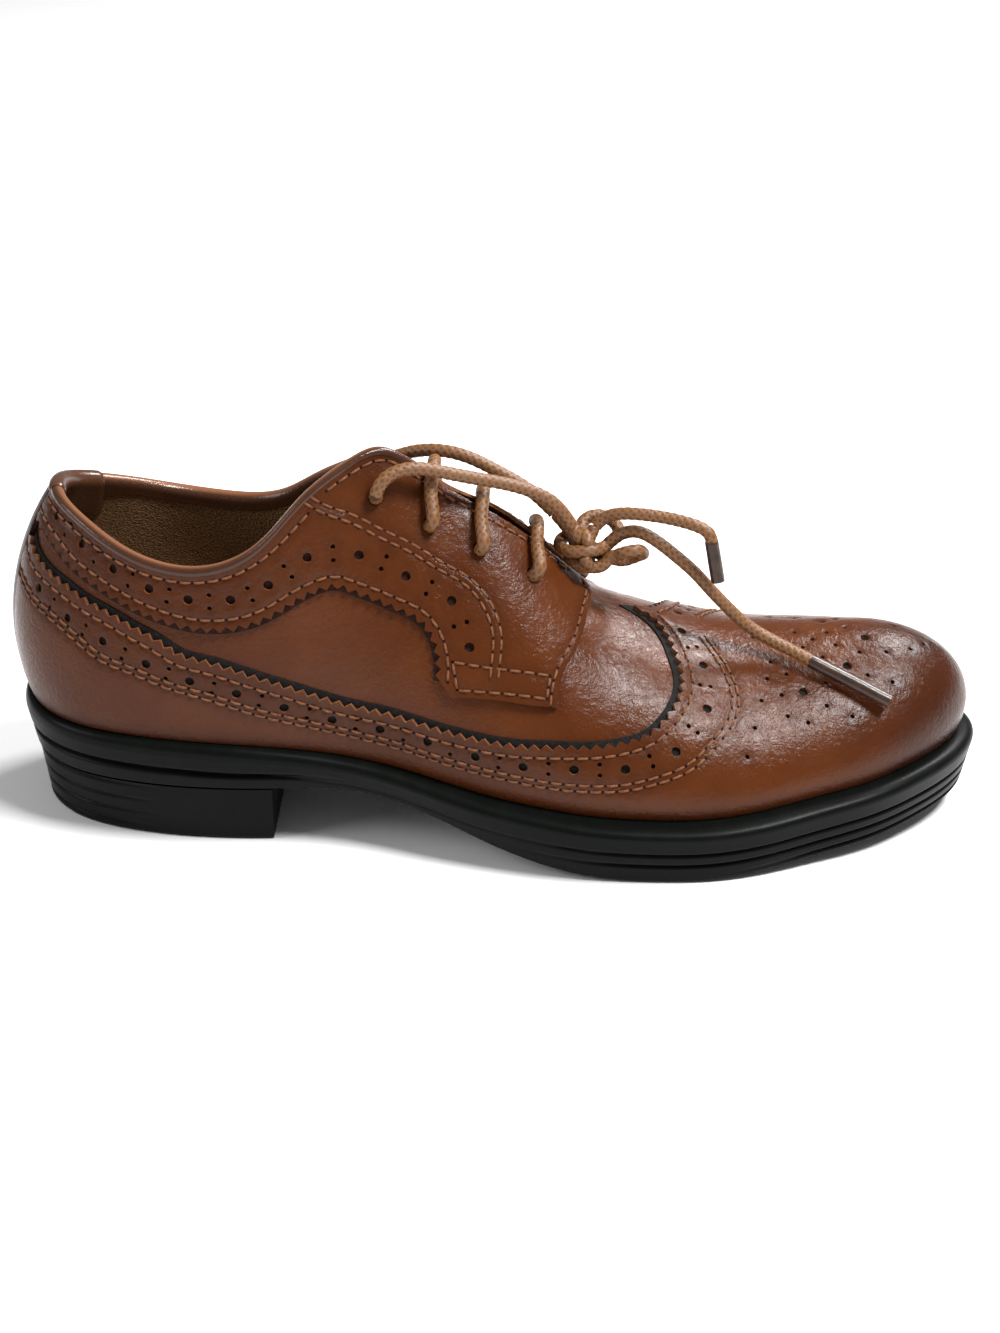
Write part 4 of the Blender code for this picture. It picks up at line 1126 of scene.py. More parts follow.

# %% Burnish and painted shade, by place
def burnish_and_shade_of(points, rows_and_shadow_tree, edge_and_shadow_tree, hole_tree):
    """Dark share at each point: wax burnish on the toe, the heel, along seams and panel edges; darker near
    the sole line, round holes and high on the lacing; and painted shade beside the edges of panels that lie
    over the points.
    """
    tip = 0.66 * fade(points[:, 0], 0.080, 0.120)
    seat = level(points[:, 0])[:, 1]
    low = 0.45 * (1.0 - fade(points[:, 2] - seat, 0.0, 0.006))
    heel = 0.25 * (1.0 - fade(points[:, 0], -0.125, -0.095))
    # On the upper both trees hold the edges of the panels that lie over it, so these two terms are painted
    # shade beside those edges; on a panel they are burnish along its stitch rows and its own edge.
    rows = 0.20 * (1.0 - fade(distance_to(points, rows_and_shadow_tree), 0.0006, 0.0040))
    edge = 0.10 * (1.0 - fade(distance_to(points, edge_and_shadow_tree), 0.0, 0.0028))
    punch = 0.0
    if hole_tree:
        punch = 0.20 * (1.0 - fade(distance_to(points, hole_tree), 0.0012, 0.0034))
    lacing = 0.22 * fade(points[:, 2], 0.070, 0.100) * fade(points[:, 0], -0.060, -0.020)
    return np.clip(tip + low + heel + rows + edge + punch + lacing, 0.0, 0.92)


TOE_SPOT = leather(np.array([17.5]), np.array([-0.5]))
FAR_TREE = tree_of([(9.0, 9.0, 9.0)])
print("burnish on the toe:", np.round(burnish_and_shade_of(TOE_SPOT, FAR_TREE, FAR_TREE, None), 2))

# %% [markdown]
# ## Dressing a panel
#
# With the tools above, a panel takes a few lines: cut it, give its points their heights, close the
# shell, and colour its cut edge. The lesson's two big panels are the wing, which runs round the
# whole shoe and over the toe, and the quarters' band, which carries the collar and the facing.

# %% Panel from outline, holes and rows
PANEL_UNDER = -0.00125   # height of a panel's underside
PANEL_GRID = 1.25        # millimetres between the points that fill a panel


def dress(name, outline, holes, rows, replaces, lift=None, seam=False, folded=()):
    """A panel of tan leather with its relief and burnish."""
    loops, rings = punched(holes)
    extra = keep_apart([*rings, *folded, *beside_rows(rows)], [outline, *loops])
    places, faces = cut(outline, holes, extra, PANEL_GRID)
    if seam:
        places, faces = weld_seam(places, faces)
    u, v = places.T
    base = leather(u, v)
    row_tree = tree_of(np.vstack([on_leather(row) for row in rows]))
    edge_and_shadow_tree = tree_of(on_leather(outline))
    hole_tree = tree_of(np.vstack([on_leather(loop) for loop in loops]))
    rise = -STITCH_TROUGH * swell(base, row_tree, TROUGH_WIDTH)
    rise -= HOLE_RIM * swell(base, hole_tree, HOLE_RIM_WIDTH)
    if folded:
        fold_tree = tree_of(np.vstack([on_leather(line) for line in folded]))
        rise -= FOLD_DROP * swell(base, fold_tree, FOLD_WIDTH)
    lifted_by = lift(u, v) if lift else np.zeros(len(u))
    outer = leather(u, v, rise + lifted_by)
    inner = leather(u, v, PANEL_UNDER + lifted_by)
    points, solid, kinds = close(outer, inner, faces)
    piece = add_piece(name, points, solid, [TAN, PALE_EDGE], replaces, kinds)
    burnish_and_shade = burnish_and_shade_of(base, row_tree, edge_and_shadow_tree, hole_tree)
    paint(piece, "burnish_and_painted_light", np.concatenate([burnish_and_shade, burnish_and_shade]))
    print(name, len(solid), "faces")


def reverse(points):
    return points[::-1]


def wing_outline():
    """Closed outline: sole line, toe seam, sole line, far pinked edge, near pinked edge."""
    near = pinked(WING_PINKED, -1, PINK_DEPTH)
    far = pinked(WING_PINKED, 1, PINK_DEPTH)
    tip = np.array([[WING_PINKED[-1][0] - 0.06, 0.0]])
    seam = stretch_of((SEAM, -1.0), (SEAM, -EDGE), 0.0016)
    runs = [stretch_of((START[-1], -1.0), (SEAM, -1.0), 0.0016),
            seam, [[SEAM, 0.0]],
            reverse(np.column_stack([seam[1:, 0], -seam[1:, 1]])),
            stretch_of((SEAM, 1.0), (START[1], 1.0), 0.0016),
            stretch_of((START[1], 1.0), tuple(far[0]), 0.0016),
            far[:-1], tip, reverse(near[:-1]),
            stretch_of(tuple(near[0]), (START[-1], -1.0), 0.0016)[1:]]
    return np.vstack(runs)


WING_OUTLINE = wing_outline()
print("wing outline:", len(WING_OUTLINE), "points")
dress("wing_tip", WING_OUTLINE, WING_PUNCH, WING_ROWS, ["wing"], seam=True)

# %% [markdown]
# ## The dark strip above the wing
#
# Under the wing lies a thin black underlay that reaches a little past its teeth. It shows as a dark
# line along the teeth, and as the dark ground of the wing's punched holes. Under the collar a dark
# brown sheet reaches just past the teeth's tips: it is painted shadow, the thin shadow line under
# the teeth and the dark ground of the collar's holes.

# %% Underlays
UNDER_SHEET_TOP = -0.00118
UNDER_SHEET_LOW = -0.00150
UNDER_SHEET_GRID = 2.2


# A thin dark sheet under a panel: the wing's black underlay, and under the collar a painted shadow.
def underlay_and_shadow_sheet(name, outline, material=UNDERLAY, seam=False):
    places, faces = cut(outline, (), (), UNDER_SHEET_GRID)
    if seam:
        places, faces = weld_seam(places, faces)
    u, v = places.T
    shell = [leather(u, v, np.full(len(u), height)) for height in (UNDER_SHEET_TOP, UNDER_SHEET_LOW)]
    points, solid, kinds = close(*shell, faces)
    return add_piece(name, points, solid, [material, material], (), kinds)


def wing_underlay_outline():
    """The wing's outline with its pinked edge moved up by the strip's width."""
    sides = {}
    for side in (-1, 1):
        line = trace(wall(WING_PINKED[:-1], side), 0.0016)
        width = 0.0023 + 0.0004 * fade(line[:, 0], 11.0, 12.3)
        sides[side] = lifted(line, side, width)
    seam = stretch_of((SEAM, -1.0), (SEAM, -EDGE), 0.0024)
    runs = [stretch_of((START[-1], -1.0), (SEAM, -1.0), 0.0024), seam, [[SEAM, 0.0]],
            reverse(np.column_stack([seam[1:, 0], -seam[1:, 1]])),
            stretch_of((SEAM, 1.0), (START[1], 1.0), 0.0024),
            stretch_of((START[1], 1.0), tuple(sides[1][0]), 0.0024),
            sides[1], [[WING_PINKED[-1][0] - 0.33, 0.0]], reverse(sides[-1]),
            stretch_of(tuple(sides[-1][0]), (START[-1], -1.0), 0.0024)[1:]]
    return np.vstack(runs)


underlay_and_shadow_sheet("wing_underlay", wing_underlay_outline(), seam=True)
print("underlay of the wing laid")

# %% [markdown]
# ## Collar and facing
#
# The band along the collar and the facing with its eyelets are sewn along a beaded double seam.
# They are cut as one panel here, with the bead as relief: two panels would need an edge hidden
# under that seam. The facing's front and lacing edges are folded over, so their rim is round, and
# its front corner stands off the vamp.

# %% Quarter panels
BEAD_RISE = 0.00030
BEAD_WIDTH = 0.00075


def quarter_outline(side):
    top = EDGE * side
    pinks = pinked(COLLAR_PINKED, side, -PINK_DEPTH)
    front = trace(wall(FRONT, side), 0.0012)
    low = trace(wall(TAB_LOW, side), 0.0014)
    return np.vstack([stretch_of((START[side], top), (FACING_END, top), 0.0014), front, low[1:-1],
                      reverse(pinks), stretch_of(tuple(pinks[0]), (START[side], top), 0.0014)[1:]])


def bead_rise(side):
    """Function of pattern places: the bead and the flap's lift."""
    tree = tree_of(on_leather(row_of(BEAD, side)))

    def rise(u, v):
        return flap_rise(u, v) + BEAD_RISE * swell(leather(u, v), tree, BEAD_WIDTH)
    return rise


def eyelet_holes(side):
    return [((station, side * (1.0 - height)), EYELET_HOLE) for station, height in EYELETS]


def collar_shadow_outline(side):
    """Closed outline of the collar's painted shadow sheet: topline, a line behind the facing, and the
    teeth's line moved down.
    """
    front = trace(wall(((9.05, 0.9), (9.2, 0.7), (9.3, 0.5), (9.1, 0.41)), side), 0.003)
    low = lifted(trace(wall(COLLAR_PINKED, side), 0.002), side, -0.0020)
    top = stretch_of((START[side], side * 0.03), (8.9, side * 0.03), 0.003)
    return np.vstack([top, front, reverse(low)])


def folds(side):
    """The folded edges: the facing's front, and its lacing edge."""
    top = side * 1e-6
    return [trace(wall(FRONT, side), 0.0008),
            trace(np.array([[6.3, top], [8.5, top], [FACING_END, top]]), 0.0008)]


for side, word in ((-1, "lateral"), (1, "medial")):
    # The collar's dark sheet is painted shadow: a thin shadow line under the teeth, and dark ground in the
    # collar's holes.
    underlay_and_shadow_sheet("collar_shadow_sheet_" + word, collar_shadow_outline(side), DARK_EDGE_AND_SHADOW)
    dress("quarter_" + word, quarter_outline(side), COLLAR_PUNCH[side] + eyelet_holes(side),
          QUARTER_ROWS[side], ["collar_" + word, "facing_" + word],
          lift=bead_rise(side), folded=folds(side))
print("collar and facing are on, both sides")

# %% [markdown]
# ## Stitches
#
# One stitch is a short sausage of thread, high in the middle and dipping at both ends into its
# needle holes. A row is the same sausage repeated. All stitches of a panel are one mesh: a
# thousand separate objects would slow everything down and look the same.

# %% One stitch
THREAD_RADIUS = 0.00032
THREAD_SIDES = 8


def sausage(start, end, normal):
    """Points and faces of one stitch."""
    ahead = end - start
    length = np.linalg.norm(ahead)
    ahead = ahead / length
    across = np.cross(normal, ahead)
    points = []
    shares = (0.0, 0.10, 0.30, 0.50, 0.70, 0.90, 1.0)
    widths = (0.45, 0.85, 1.0, 1.05, 1.0, 0.85, 0.45)
    heights = (-0.00030, -0.00006, 0.00016, 0.00022, 0.00016, -0.00006, -0.00030)
    turn = np.linspace(0.0, 2.0 * math.pi, THREAD_SIDES, endpoint=False)
    for share, wide, high in zip(shares, widths, heights):
        centre = start + ahead * (share * length) + normal * high
        points.append(centre + ring_of(turn, across, normal) * THREAD_RADIUS * wide)
    return np.vstack(points), tube_faces(len(shares), THREAD_SIDES)


ONE_STITCH = sausage(np.zeros(3), np.array([0.003, 0.0, 0.0]), np.array([0.0, 0.0, 1.0]))
print("one stitch:", len(ONE_STITCH[0]), "points and", len(ONE_STITCH[1]), "faces")

# %% Stitches along rows
STITCH_PITCH = 0.0035
STITCH_GAP = 0.07        # share of the pitch that is left free at each end
THREAD_HEIGHT = -0.00014
PIT_RADIUS = 0.00040
PIT_LIFT = 0.00004


def sew(name, rows, lift=None):
    """Stitches along rows of pattern points, and dark discs between them, painted shade for the needle
    holes.
    """
    points = []
    faces = []
    pits = []
    pit_faces = []
    count = 0
    pit_count = 0
    for row in rows:
        normal = travel(row)[1]
        high = THREAD_HEIGHT + (lift(row[:, 0], row[:, 1]) if lift else np.zeros(len(row)))
        path = leather(row[:, 0], row[:, 1], high)
        length = along_of(path)
        number = max(1, int(round(length[-1] / STITCH_PITCH)))
        marks = np.linspace(0.0, length[-1], number + 1)
        at = np.column_stack([np.interp(marks, length, path[:, k]) for k in range(3)])
        up = np.column_stack([np.interp(marks, length, normal[:, k]) for k in range(3)])
        for start, end, first, second in zip(at[:-1], at[1:], up[:-1], up[1:]):
            run = end - start
            facing = first + second
            facing -= run * (facing @ run) / (run @ run)
            facing /= np.linalg.norm(facing)
            more, sides = sausage(start + STITCH_GAP * run, end - STITCH_GAP * run, facing)
            points.append(more)
            faces += [tuple(corner + count for corner in face) for face in sides]
            count += len(more)
        turn = np.linspace(0.0, 2.0 * math.pi, THREAD_SIDES, endpoint=False)
        for spot, facing in zip(at, up):
            facing = facing / np.linalg.norm(facing)
            first = np.cross(facing, (0.0, 0.0, 1.0))
            first /= np.linalg.norm(first)
            second = np.cross(facing, first)
            pits.append(spot + facing * PIT_LIFT + PIT_RADIUS * ring_of(turn, first, second))
            pit_faces.append(tuple(pit_count + j for j in range(THREAD_SIDES)))
            pit_count += THREAD_SIDES
    add_piece(name, np.vstack(points), faces, [THREAD])
    add_piece(name + "_needle_hole_shade", np.vstack(pits), pit_faces, [NEEDLE_HOLE_SHADE])


sew("wing_stitches", WING_ROWS)
for side, word in ((-1, "lateral"), (1, "medial")):
    sew("quarter_stitches_" + word, QUARTER_ROWS[side], lift=flap_rise)
print("stitches sewn")

# %% [markdown]
# ## The upper underneath
#
# Vamp and quarters are one lasted wall with a textile lining. The same two-number surface gives it:
# a grid round the feather and up the wall, once outside and once inside. A few creases across the
# vamp, where the foot bends, are pressed in along listed lines.

# %% Creases
CREASE_WIDTH = 0.0013
CREASE_RIDGE = 0.0024    # from the bottom of a crease to the low ridge beside it
CREASE_REACH = 0.004
# From one pattern point to another, and the depth.
CREASES = ((11.55, -0.55, 11.75, -0.05, 0.00035), (12.0, -0.70, 12.05, -0.30, 0.00030),
           (11.4, -0.85, 11.9, -0.60, 0.00030), (9.6, -0.72, 10.4, -0.66, 0.00025),
           (5.2, -0.55, 6.6, -0.60, 0.00030), (11.55, 0.55, 11.75, 0.05, 0.00035))


def crease_depth(points):
    """Soft dents along the listed lines, each with a low ridge beside it."""
    depth = np.zeros(len(points))
    for u0, v0, u1, v1, deep in CREASES:
        share = np.linspace(0.0, 1.0, 40)[:, None]
        line = np.array([u0, v0]) + share * (np.array([u1, v1]) - np.array([u0, v0]))
        strength = np.sin(np.pi * share[:, 0]) ** 0.5
        on = on_leather(line)
        tree = tree_of(on)
        for number, point in enumerate(points):
            _, near, gap = tree.find(Vector(point))
            if gap < CREASE_REACH:
                valley = math.exp(-(gap / CREASE_WIDTH) ** 2)
                ridge = math.exp(-((gap - CREASE_RIDGE) / CREASE_WIDTH) ** 2)
                depth[number] -= deep * strength[near] * valley
                depth[number] += 0.5 * deep * strength[near] * ridge
    return depth


print("creases:", len(CREASES), "and none on the toe:", crease_depth(TOE_SPOT))

# %% Vamp and quarters with their lining

def make_upper():
    columns = []
    for side in (-1, 1):
        stations = np.linspace(0.0, TOE, 181)
        if side > 0:
            stations = stations[-2:0:-1]
        columns += [float(round_at(station, side)) for station in stations]
    heights = np.concatenate([np.linspace(0.0, 0.94, 38), [0.96, 0.98, 0.992, 1.0]])
    s, t = np.meshgrid(columns, heights, indexing="ij")
    outer = last_surface(s, t) + surface_normal(s, t) * BASE_OUT
    inner = last_surface(s, t) + surface_normal(s, t) * BASE_IN
    foot = outward(np.array(columns))
    outer[:, 0] = last_surface(s[:, 0], t[:, 0]) + foot * BASE_OUT
    inner[:, 0] = last_surface(s[:, 0], t[:, 0]) + foot * BASE_IN
    rows, posts = s.shape
    flat_points = outer.reshape(-1, 3)
    dents = crease_depth(flat_points)
    flat_points = flat_points + surface_normal(s, t).reshape(-1, 3) * dents[:, None]
    faces = []
    for i in range(rows):
        k = (i + 1) % rows
        for j in range(posts - 1):
            faces.append((i * posts + j, k * posts + j, k * posts + j + 1, i * posts + j + 1))
    points, solid, kinds = close(flat_points, inner.reshape(-1, 3), faces)
    kinds = [0] * len(faces) + [2] * len(faces) + [1] * (len(solid) - 2 * len(faces))
    piece = add_piece("vamp_and_quarters", points, solid, [TAN, DARK_EDGE_AND_SHADOW, LINING],
                      ["upper"], kinds)
    # Painted shade: the upper is darkened beside the edges of the wing, collar and facing that lie over it.
    edges = [on_leather(WING_OUTLINE)]
    for side in (-1, 1):
        for line in (COLLAR_PINKED, FRONT, TAB_LOW):
            edges.append(on_leather(trace(wall(line, side), 0.001)))
    edge_and_shadow_tree = tree_of(np.vstack(edges))
    burnish_and_shade = burnish_and_shade_of(flat_points, edge_and_shadow_tree, edge_and_shadow_tree, None)
    paint(piece, "burnish_and_painted_light", np.concatenate([burnish_and_shade, burnish_and_shade]))
    print("upper:", len(solid), "faces")


make_upper()

# %% [markdown]
# ## The rolled rim
#
# Along the collar a strip of thin leather is sewn to the lining's edge and rolled over the top. Its
# section is drawn once, as height and drop beside the edge, and swept round the whole topline. Inside
# it reaches a few millimetres down, and more at the heel, where it is rubbed by the foot. A light
# band painted along its top is a painted highlight on the crest of the roll.

# %% Topline roll
ROLL_END = 8.95          # station where the roll ends, under the facing
ROLL_FADE = 8.55
ROLL_INSIDE = 0.0034     # how far it reaches down inside, and how much more at the heel
HEEL_INSIDE = 0.0050
ROLL = ((0.00006, -0.0014), (0.00026, -0.0009), (0.00030, -0.0004), (0.00014, 0.0001), (-0.0004, 0.0006),
        (-0.0011, 0.00085), (-0.0017, 0.00090), (-0.0024, 0.00065), (-0.0030, 0.0001), (-0.0034, -0.0006),
        (-0.00352, -0.0014), (-0.00350, -0.0024))
ROLL_SECTION = evenly([(x, 0.0, y) for x, y in ROLL], 22)[:, (0, 2)]


def roll_frames():
    """Places, normals and up directions along the topline, from facing to facing round the heel."""
    near = stretch_of((ROLL_END, -EDGE), (0.0, -EDGE), 0.0012)
    far = stretch_of((0.0, EDGE), (ROLL_END, EDGE), 0.0012)
    line = np.vstack([near, far])
    by_v = slopes(line[:, 0], line[:, 1])[1]
    rise = -np.where(line[:, 1:2] < 0, -1.0, 1.0) * by_v
    rise /= np.linalg.norm(rise, axis=1, keepdims=True)
    normal = surface_normal(*place(line[:, 0], line[:, 1]))
    return line, leather(line[:, 0], line[:, 1]), normal, rise


def make_roll():
    line, edge, normal, rise = roll_frames()
    back = 1.0 - fade(line[:, 0], 0.6, 2.6)
    depth = ROLL_INSIDE + HEEL_INSIDE * back
    points = []
    for number in range(len(line)):
        end = fade(line[number, 0], ROLL_END, ROLL_FADE)
        section = ROLL_SECTION.copy()
        section[:, 0] = section[:, 0] * (0.55 + 0.45 * end) - 0.0006 * (1.0 - end)
        section[:, 1] = np.minimum(section[:, 1], section[:, 1] * end - 0.0003 * (1.0 - end))
        tail_drop = np.linspace(0.0, 1.0, 6)[1:, None]
        low = section[-1, 1] + tail_drop * (-depth[number] - section[-1, 1])
        tail = np.column_stack([np.full(5, section[-1, 0]), low[:, 0]])
        lip = np.array([[section[-1, 0] + 0.0004, tail[-1, 1] - 0.00015]])
        whole = np.vstack([section, tail, lip])
        points.append(edge[number] + normal[number] * whole[:, 0:1] + rise[number] * whole[:, 1:2])
    table = np.array(points)
    rows, posts = table.shape[:2]
    faces = grid_faces(rows, posts, turned=True)
    piece = add_piece("topline_roll", table.reshape(-1, 3), faces, [RIM])
    # Painted highlight: points near the top of each section keep the light tone; the rest is painted
    # towards the burnt tone.
    gap = np.abs(np.arange(posts) - 9.5) / 4.5
    paint(piece, "burnish_and_painted_light", np.tile(0.15 + 0.68 * fade(gap, 0.2, 1.0), rows))
    print("roll:", rows, "sections of", posts, "points")


make_roll()

# %% [markdown]
# ## Backstay
#
# The strip down the back seam is sewn over both quarters and folded over the rim into the shoe. It
# is a grid on the same surface, raised in the middle and sunk at its edges. The fold takes over the
# rolled rim's section, pushed out by the leather's thickness, so that the two can't cut each other.

# %% Backstay
def make_backstay():
    half = 0.5 * BACKSTAY_WIDTH - CLEARANCE
    across = np.linspace(-half, half, 17)
    up = np.linspace(0.0, 1.0, 60)
    s, t = np.meshgrid(-across, up, indexing="ij")
    swell = 0.0004 - 0.00045 * fade(np.abs(across) / half, 0.78, 1.0)
    swell = swell - 0.0002 * np.exp(-((np.abs(across) - half + 0.0016) / 0.0006) ** 2)
    normal = surface_normal(s, t)
    outer = last_surface(s, t) + normal * swell[:, None, None]
    inner = last_surface(s, t) - normal * 0.00125
    faces = grid_faces(*s.shape, turned=True)
    points, solid, kinds = close(outer.reshape(-1, 3), inner.reshape(-1, 3), faces)
    piece = add_piece("backstay_strip", points, solid, [TAN, DARK_EDGE_AND_SHADOW], ["backstay"],
                      kinds)
    paint(piece, "burnish_and_painted_light", np.full(len(points), 0.72))


make_backstay()
print("backstay is on:", round(BACKSTAY_WIDTH / MM), "mm wide")

# %% The backstay's fold over the rim
FOLD_MIDDLE = 0.0080     # the fold's middle beside the back seam, and half its width
FOLD_HALF = 0.0165
FOLD_OUT = 0.00055       # how far it lies over the roll, and how much less at its sides
FOLD_SINK = 0.0004
FOLD_INSIDE = -0.0105


def make_stay_wrap():
    """The backstay's end, folded over the rim and a little way down inside."""
    points = []
    for distance in np.linspace(-0.0085, 0.0245, 34):
        s = np.array([-distance if distance < 0 else RING_LENGTH - distance])
        t = np.array([1.0])
        edge = last_surface(s, t)[0]
        normal = surface_normal(s, t)[0]
        rise = edge - last_surface(s, t - 0.01)[0]
        rise /= np.linalg.norm(rise)
        rim = np.exp(-((np.abs(distance - FOLD_MIDDLE) - FOLD_HALF) / 0.0006) ** 2)
        ahead = np.gradient(ROLL_SECTION, axis=0)
        ahead /= np.linalg.norm(ahead, axis=1, keepdims=True)
        out = FOLD_OUT - FOLD_SINK * rim
        shape = ROLL_SECTION + out * np.column_stack([ahead[:, 1], -ahead[:, 0]])
        down = np.linspace(shape[-1, 1], FOLD_INSIDE, 9)[1:]
        tail = np.column_stack([np.full(8, shape[-1, 0]), down])
        lip = np.array([[tail[-1, 0] + 0.0007, tail[-1, 1] - 0.0002]])
        whole = np.vstack([shape, tail, lip])
        points.append(edge + normal * whole[:, 0:1] + rise * whole[:, 1:2])
    table = np.array(points)
    rows, posts = table.shape[:2]
    faces = grid_faces(rows, posts)
    piece = add_piece("backstay_fold", table.reshape(-1, 3), faces, [RIM])
    paint(piece, "burnish_and_painted_light", np.full(rows * posts, 0.75))


make_stay_wrap()
print("the backstay's fold is on")

# %% [markdown]
# ## Tongue
#
# The tongue is a soft sheet under the facings, seen only between the lace's bars. A cloth simulation
# could drape it, but so little of it shows that a crowned grid with a low wave does, and it stays
# clear of the facings by a set distance. Its near-black leather is partly painted shade, for the
# shade that lies on it between the facings.

# %% Tongue
def make_tongue():
    spine = []
    for station in np.linspace(7.5, 11.7, 30):
        posts = []
        for side, heights in ((-1, (0.80, 0.88, 0.95)), (1, (0.95, 0.88, 0.80))):
            for height in heights:
                s = float(round_at(station, side))
                posts.append(last_surface(s, height) + surface_normal(s, height) * TONGUE_OUT)
        spine.append(evenly(posts, 31))
    outer = np.array(spine)
    along = np.gradient(outer, axis=0)
    across = np.gradient(outer, axis=1)
    normal = np.cross(along, across)
    normal /= np.linalg.norm(normal, axis=2, keepdims=True)
    wave = np.sin(np.arange(30) * 0.9)[:, None] * np.cos(np.arange(31) * 0.35)[None, :]
    edge = np.minimum(np.arange(31), np.arange(30, -1, -1))[None, :]
    sink = -0.0004 * np.exp(-(edge / 1.0) ** 2) - 0.00012 * (1.0 + wave)
    top = outer + normal * sink[:, :, None]
    low = outer - normal * TONGUE_THICKNESS
    faces = grid_faces(*outer.shape[:2])
    points, solid, kinds = close(top.reshape(-1, 3), low.reshape(-1, 3), faces)
    piece = add_piece("soft_tongue", points, solid, [TONGUE_DARK_AND_SHADE, DARK_EDGE_AND_SHADOW], ["tongue"], kinds)
    paint(piece, "burnish_and_painted_light", np.full(len(points), 0.2))


make_tongue()
print("tongue made")

# %% [markdown]
# ## The sole
#
# The sole and its heel are one rubber moulding. Both are drawn as a side profile that is swept round
# the feather edge: a rounded shoulder, a lip, grooves, and a lower edge that lies a little further in.
# Each profile point says how far out it stands and how high it is, and the table of levels bends the
# whole thing over waist and toe spring.

# %% Sweep of a side profile round the sole
def feather_sides(stations):
    """Feather points, outward vectors and margins of both sides."""
    sides = []
    for side in (-1, 1):
        s = round_at(stations, side)
        row = ring(s)
        sides.append((row[:, :2], outward(s)[:, :2], row[:, 2]))
    return sides


def swept_sole(name, stations, profile, replaces, front_face=False):
    """Rings from a profile function of (feather x, margin, station), with caps of rungs."""
    rings = []
    for points, away, margin in feather_sides(stations):
        out, height = profile(points[:, 0], margin, stations)
        ringed = points[:, None, :] + away[:, None, :] * out[:, :, None]
        rings.append(np.concatenate([ringed, height[:, :, None]], axis=2))
    near, far = rings
    columns, posts = near.shape[:2]
    points = np.vstack([near.reshape(-1, 3), far.reshape(-1, 3)])
    shift = columns * posts
    faces = []
    for i in range(columns - 1):
        for j in range(posts - 1):
            a = i * posts + j
            faces.append((a, a + posts, a + posts + 1, a + 1))
            faces.append((shift + a, shift + a + 1, shift + a + posts + 1, shift + a + posts))
    for j, flip in ((posts - 1, False), (0, True)):
        for i in range(columns - 1):
            a = i * posts + j
            rung = (a, a + posts, shift + a + posts, shift + a)
            faces.append(rung[::-1] if flip else rung)
    if front_face:
        a = (columns - 1) * posts
        for j in range(posts - 1):
            faces.append((a + j, shift + a + j, shift + a + j + 1, a + j + 1))
    return add_piece(name, points, faces, [RUBBER], replaces, sharp=50.0)


print("the feather at the heel's back:", np.round(feather_sides(np.array([0.0]))[0][0][0], 4))

# %% Outsole
def groove(distance, width, depth):
    return -depth * np.exp(-(distance / width) ** 2)


LIP_DROP = 0.0027
SIDE_INSET = 0.0022
GROOVE_WIDTH = 0.00042


def outsole_profile(x, margin, _):
    """Out and height of the outsole's side: under edge, side with grooves, lip, shoulder, feather."""
    under, seat = level(x).T
    margin = margin[:, None]
    under = under[:, None]
    seat = seat[:, None]
    back = (1.0 - fade(x, -0.075, -0.035))[:, None]
    front = fade(x, 0.0, 0.045)[:, None]
    tip = fade(x, 0.055, 0.095)[:, None]
    down = np.linspace(0.0, 1.0, 46)[None, :]
    lip_drop = LIP_DROP + 0.0006 * back
    lip = seat - lip_drop
    tall = lip - under
    drop = down * tall
    out = margin - SIDE_INSET * down
    out = out + groove(drop - 0.0045, GROOVE_WIDTH, 0.0009) * (0.25 + 0.75 * front)
    out = out + groove(drop - 0.0080, GROOVE_WIDTH, 0.0009) * front
    out = out + groove(drop - 0.0112, GROOVE_WIDTH, 0.0008) * tip
    out = out + groove(drop - 0.0030 - 0.0022 * back, 0.0007, 0.0016) * back
    out = out - 0.0009 * np.clip((down - 0.93) / 0.07, 0.0, 1.0) ** 2
    height = lip - drop
    turn = np.linspace(0.0, 0.5 * math.pi, 12)[None, 1:]
    shoulder_out = margin * (np.cos(turn) ** 0.8)
    shoulder_height = lip + lip_drop * np.sin(turn) ** 0.85
    out = np.concatenate([out[:, ::-1], shoulder_out], axis=1)
    height = np.concatenate([height[:, ::-1], shoulder_height], axis=1)
    return out, height


SOLE_STATIONS = np.concatenate([np.linspace(0.0, 1.0, 19)[:-1], np.linspace(1.0, 16.0, 136)[:-1],
                                np.linspace(16.0, 18.0, 33)])
swept_sole("rubber_outsole", SOLE_STATIONS, outsole_profile, ["outsole"])
print("outsole swept over", len(SOLE_STATIONS), "stations")

# %% Heel
HEEL_BREAST = -0.231 * LENGTH
HEEL_GROOVES = (0.0155, 0.0110, 0.0068, 0.0026)


def heel_profile(x, margin, stations):
    """Out and height of the heel's side, with four grooves round the back."""
    top = ARCH_RISE - CLEARANCE
    height = np.linspace(0.0, top, 64)[None, :] * np.ones((len(x), 1))
    taper = 0.0020 * (1.0 - height / top)
    fading = np.clip(1.0 - stations / 3.4, 0.0, 1.0)[:, None] ** 0.5
    out = margin[:, None] - SIDE_INSET - 0.0004 - taper
    for low in HEEL_GROOVES:
        out = out + groove(height - low, 0.00045, 0.0009) * fading
    out = out - 0.0006 * (1.0 - fade(height, 0.0, 0.0010))
    return out, height


def heel_stations():
    table = np.linspace(0.0, 7.0, 400)
    middle = 0.5 * (ring(round_at(table, -1))[:, 0] + ring(round_at(table, 1))[:, 0])
    last = float(np.interp(HEEL_BREAST, middle, table))
    return np.concatenate([np.linspace(0.0, 1.0, 19)[:-1], np.linspace(1.0, last, 40)])


swept_sole("rubber_heel", heel_stations(), heel_profile, ["heel"], front_face=True)
print("heel swept over", len(heel_stations()), "stations")

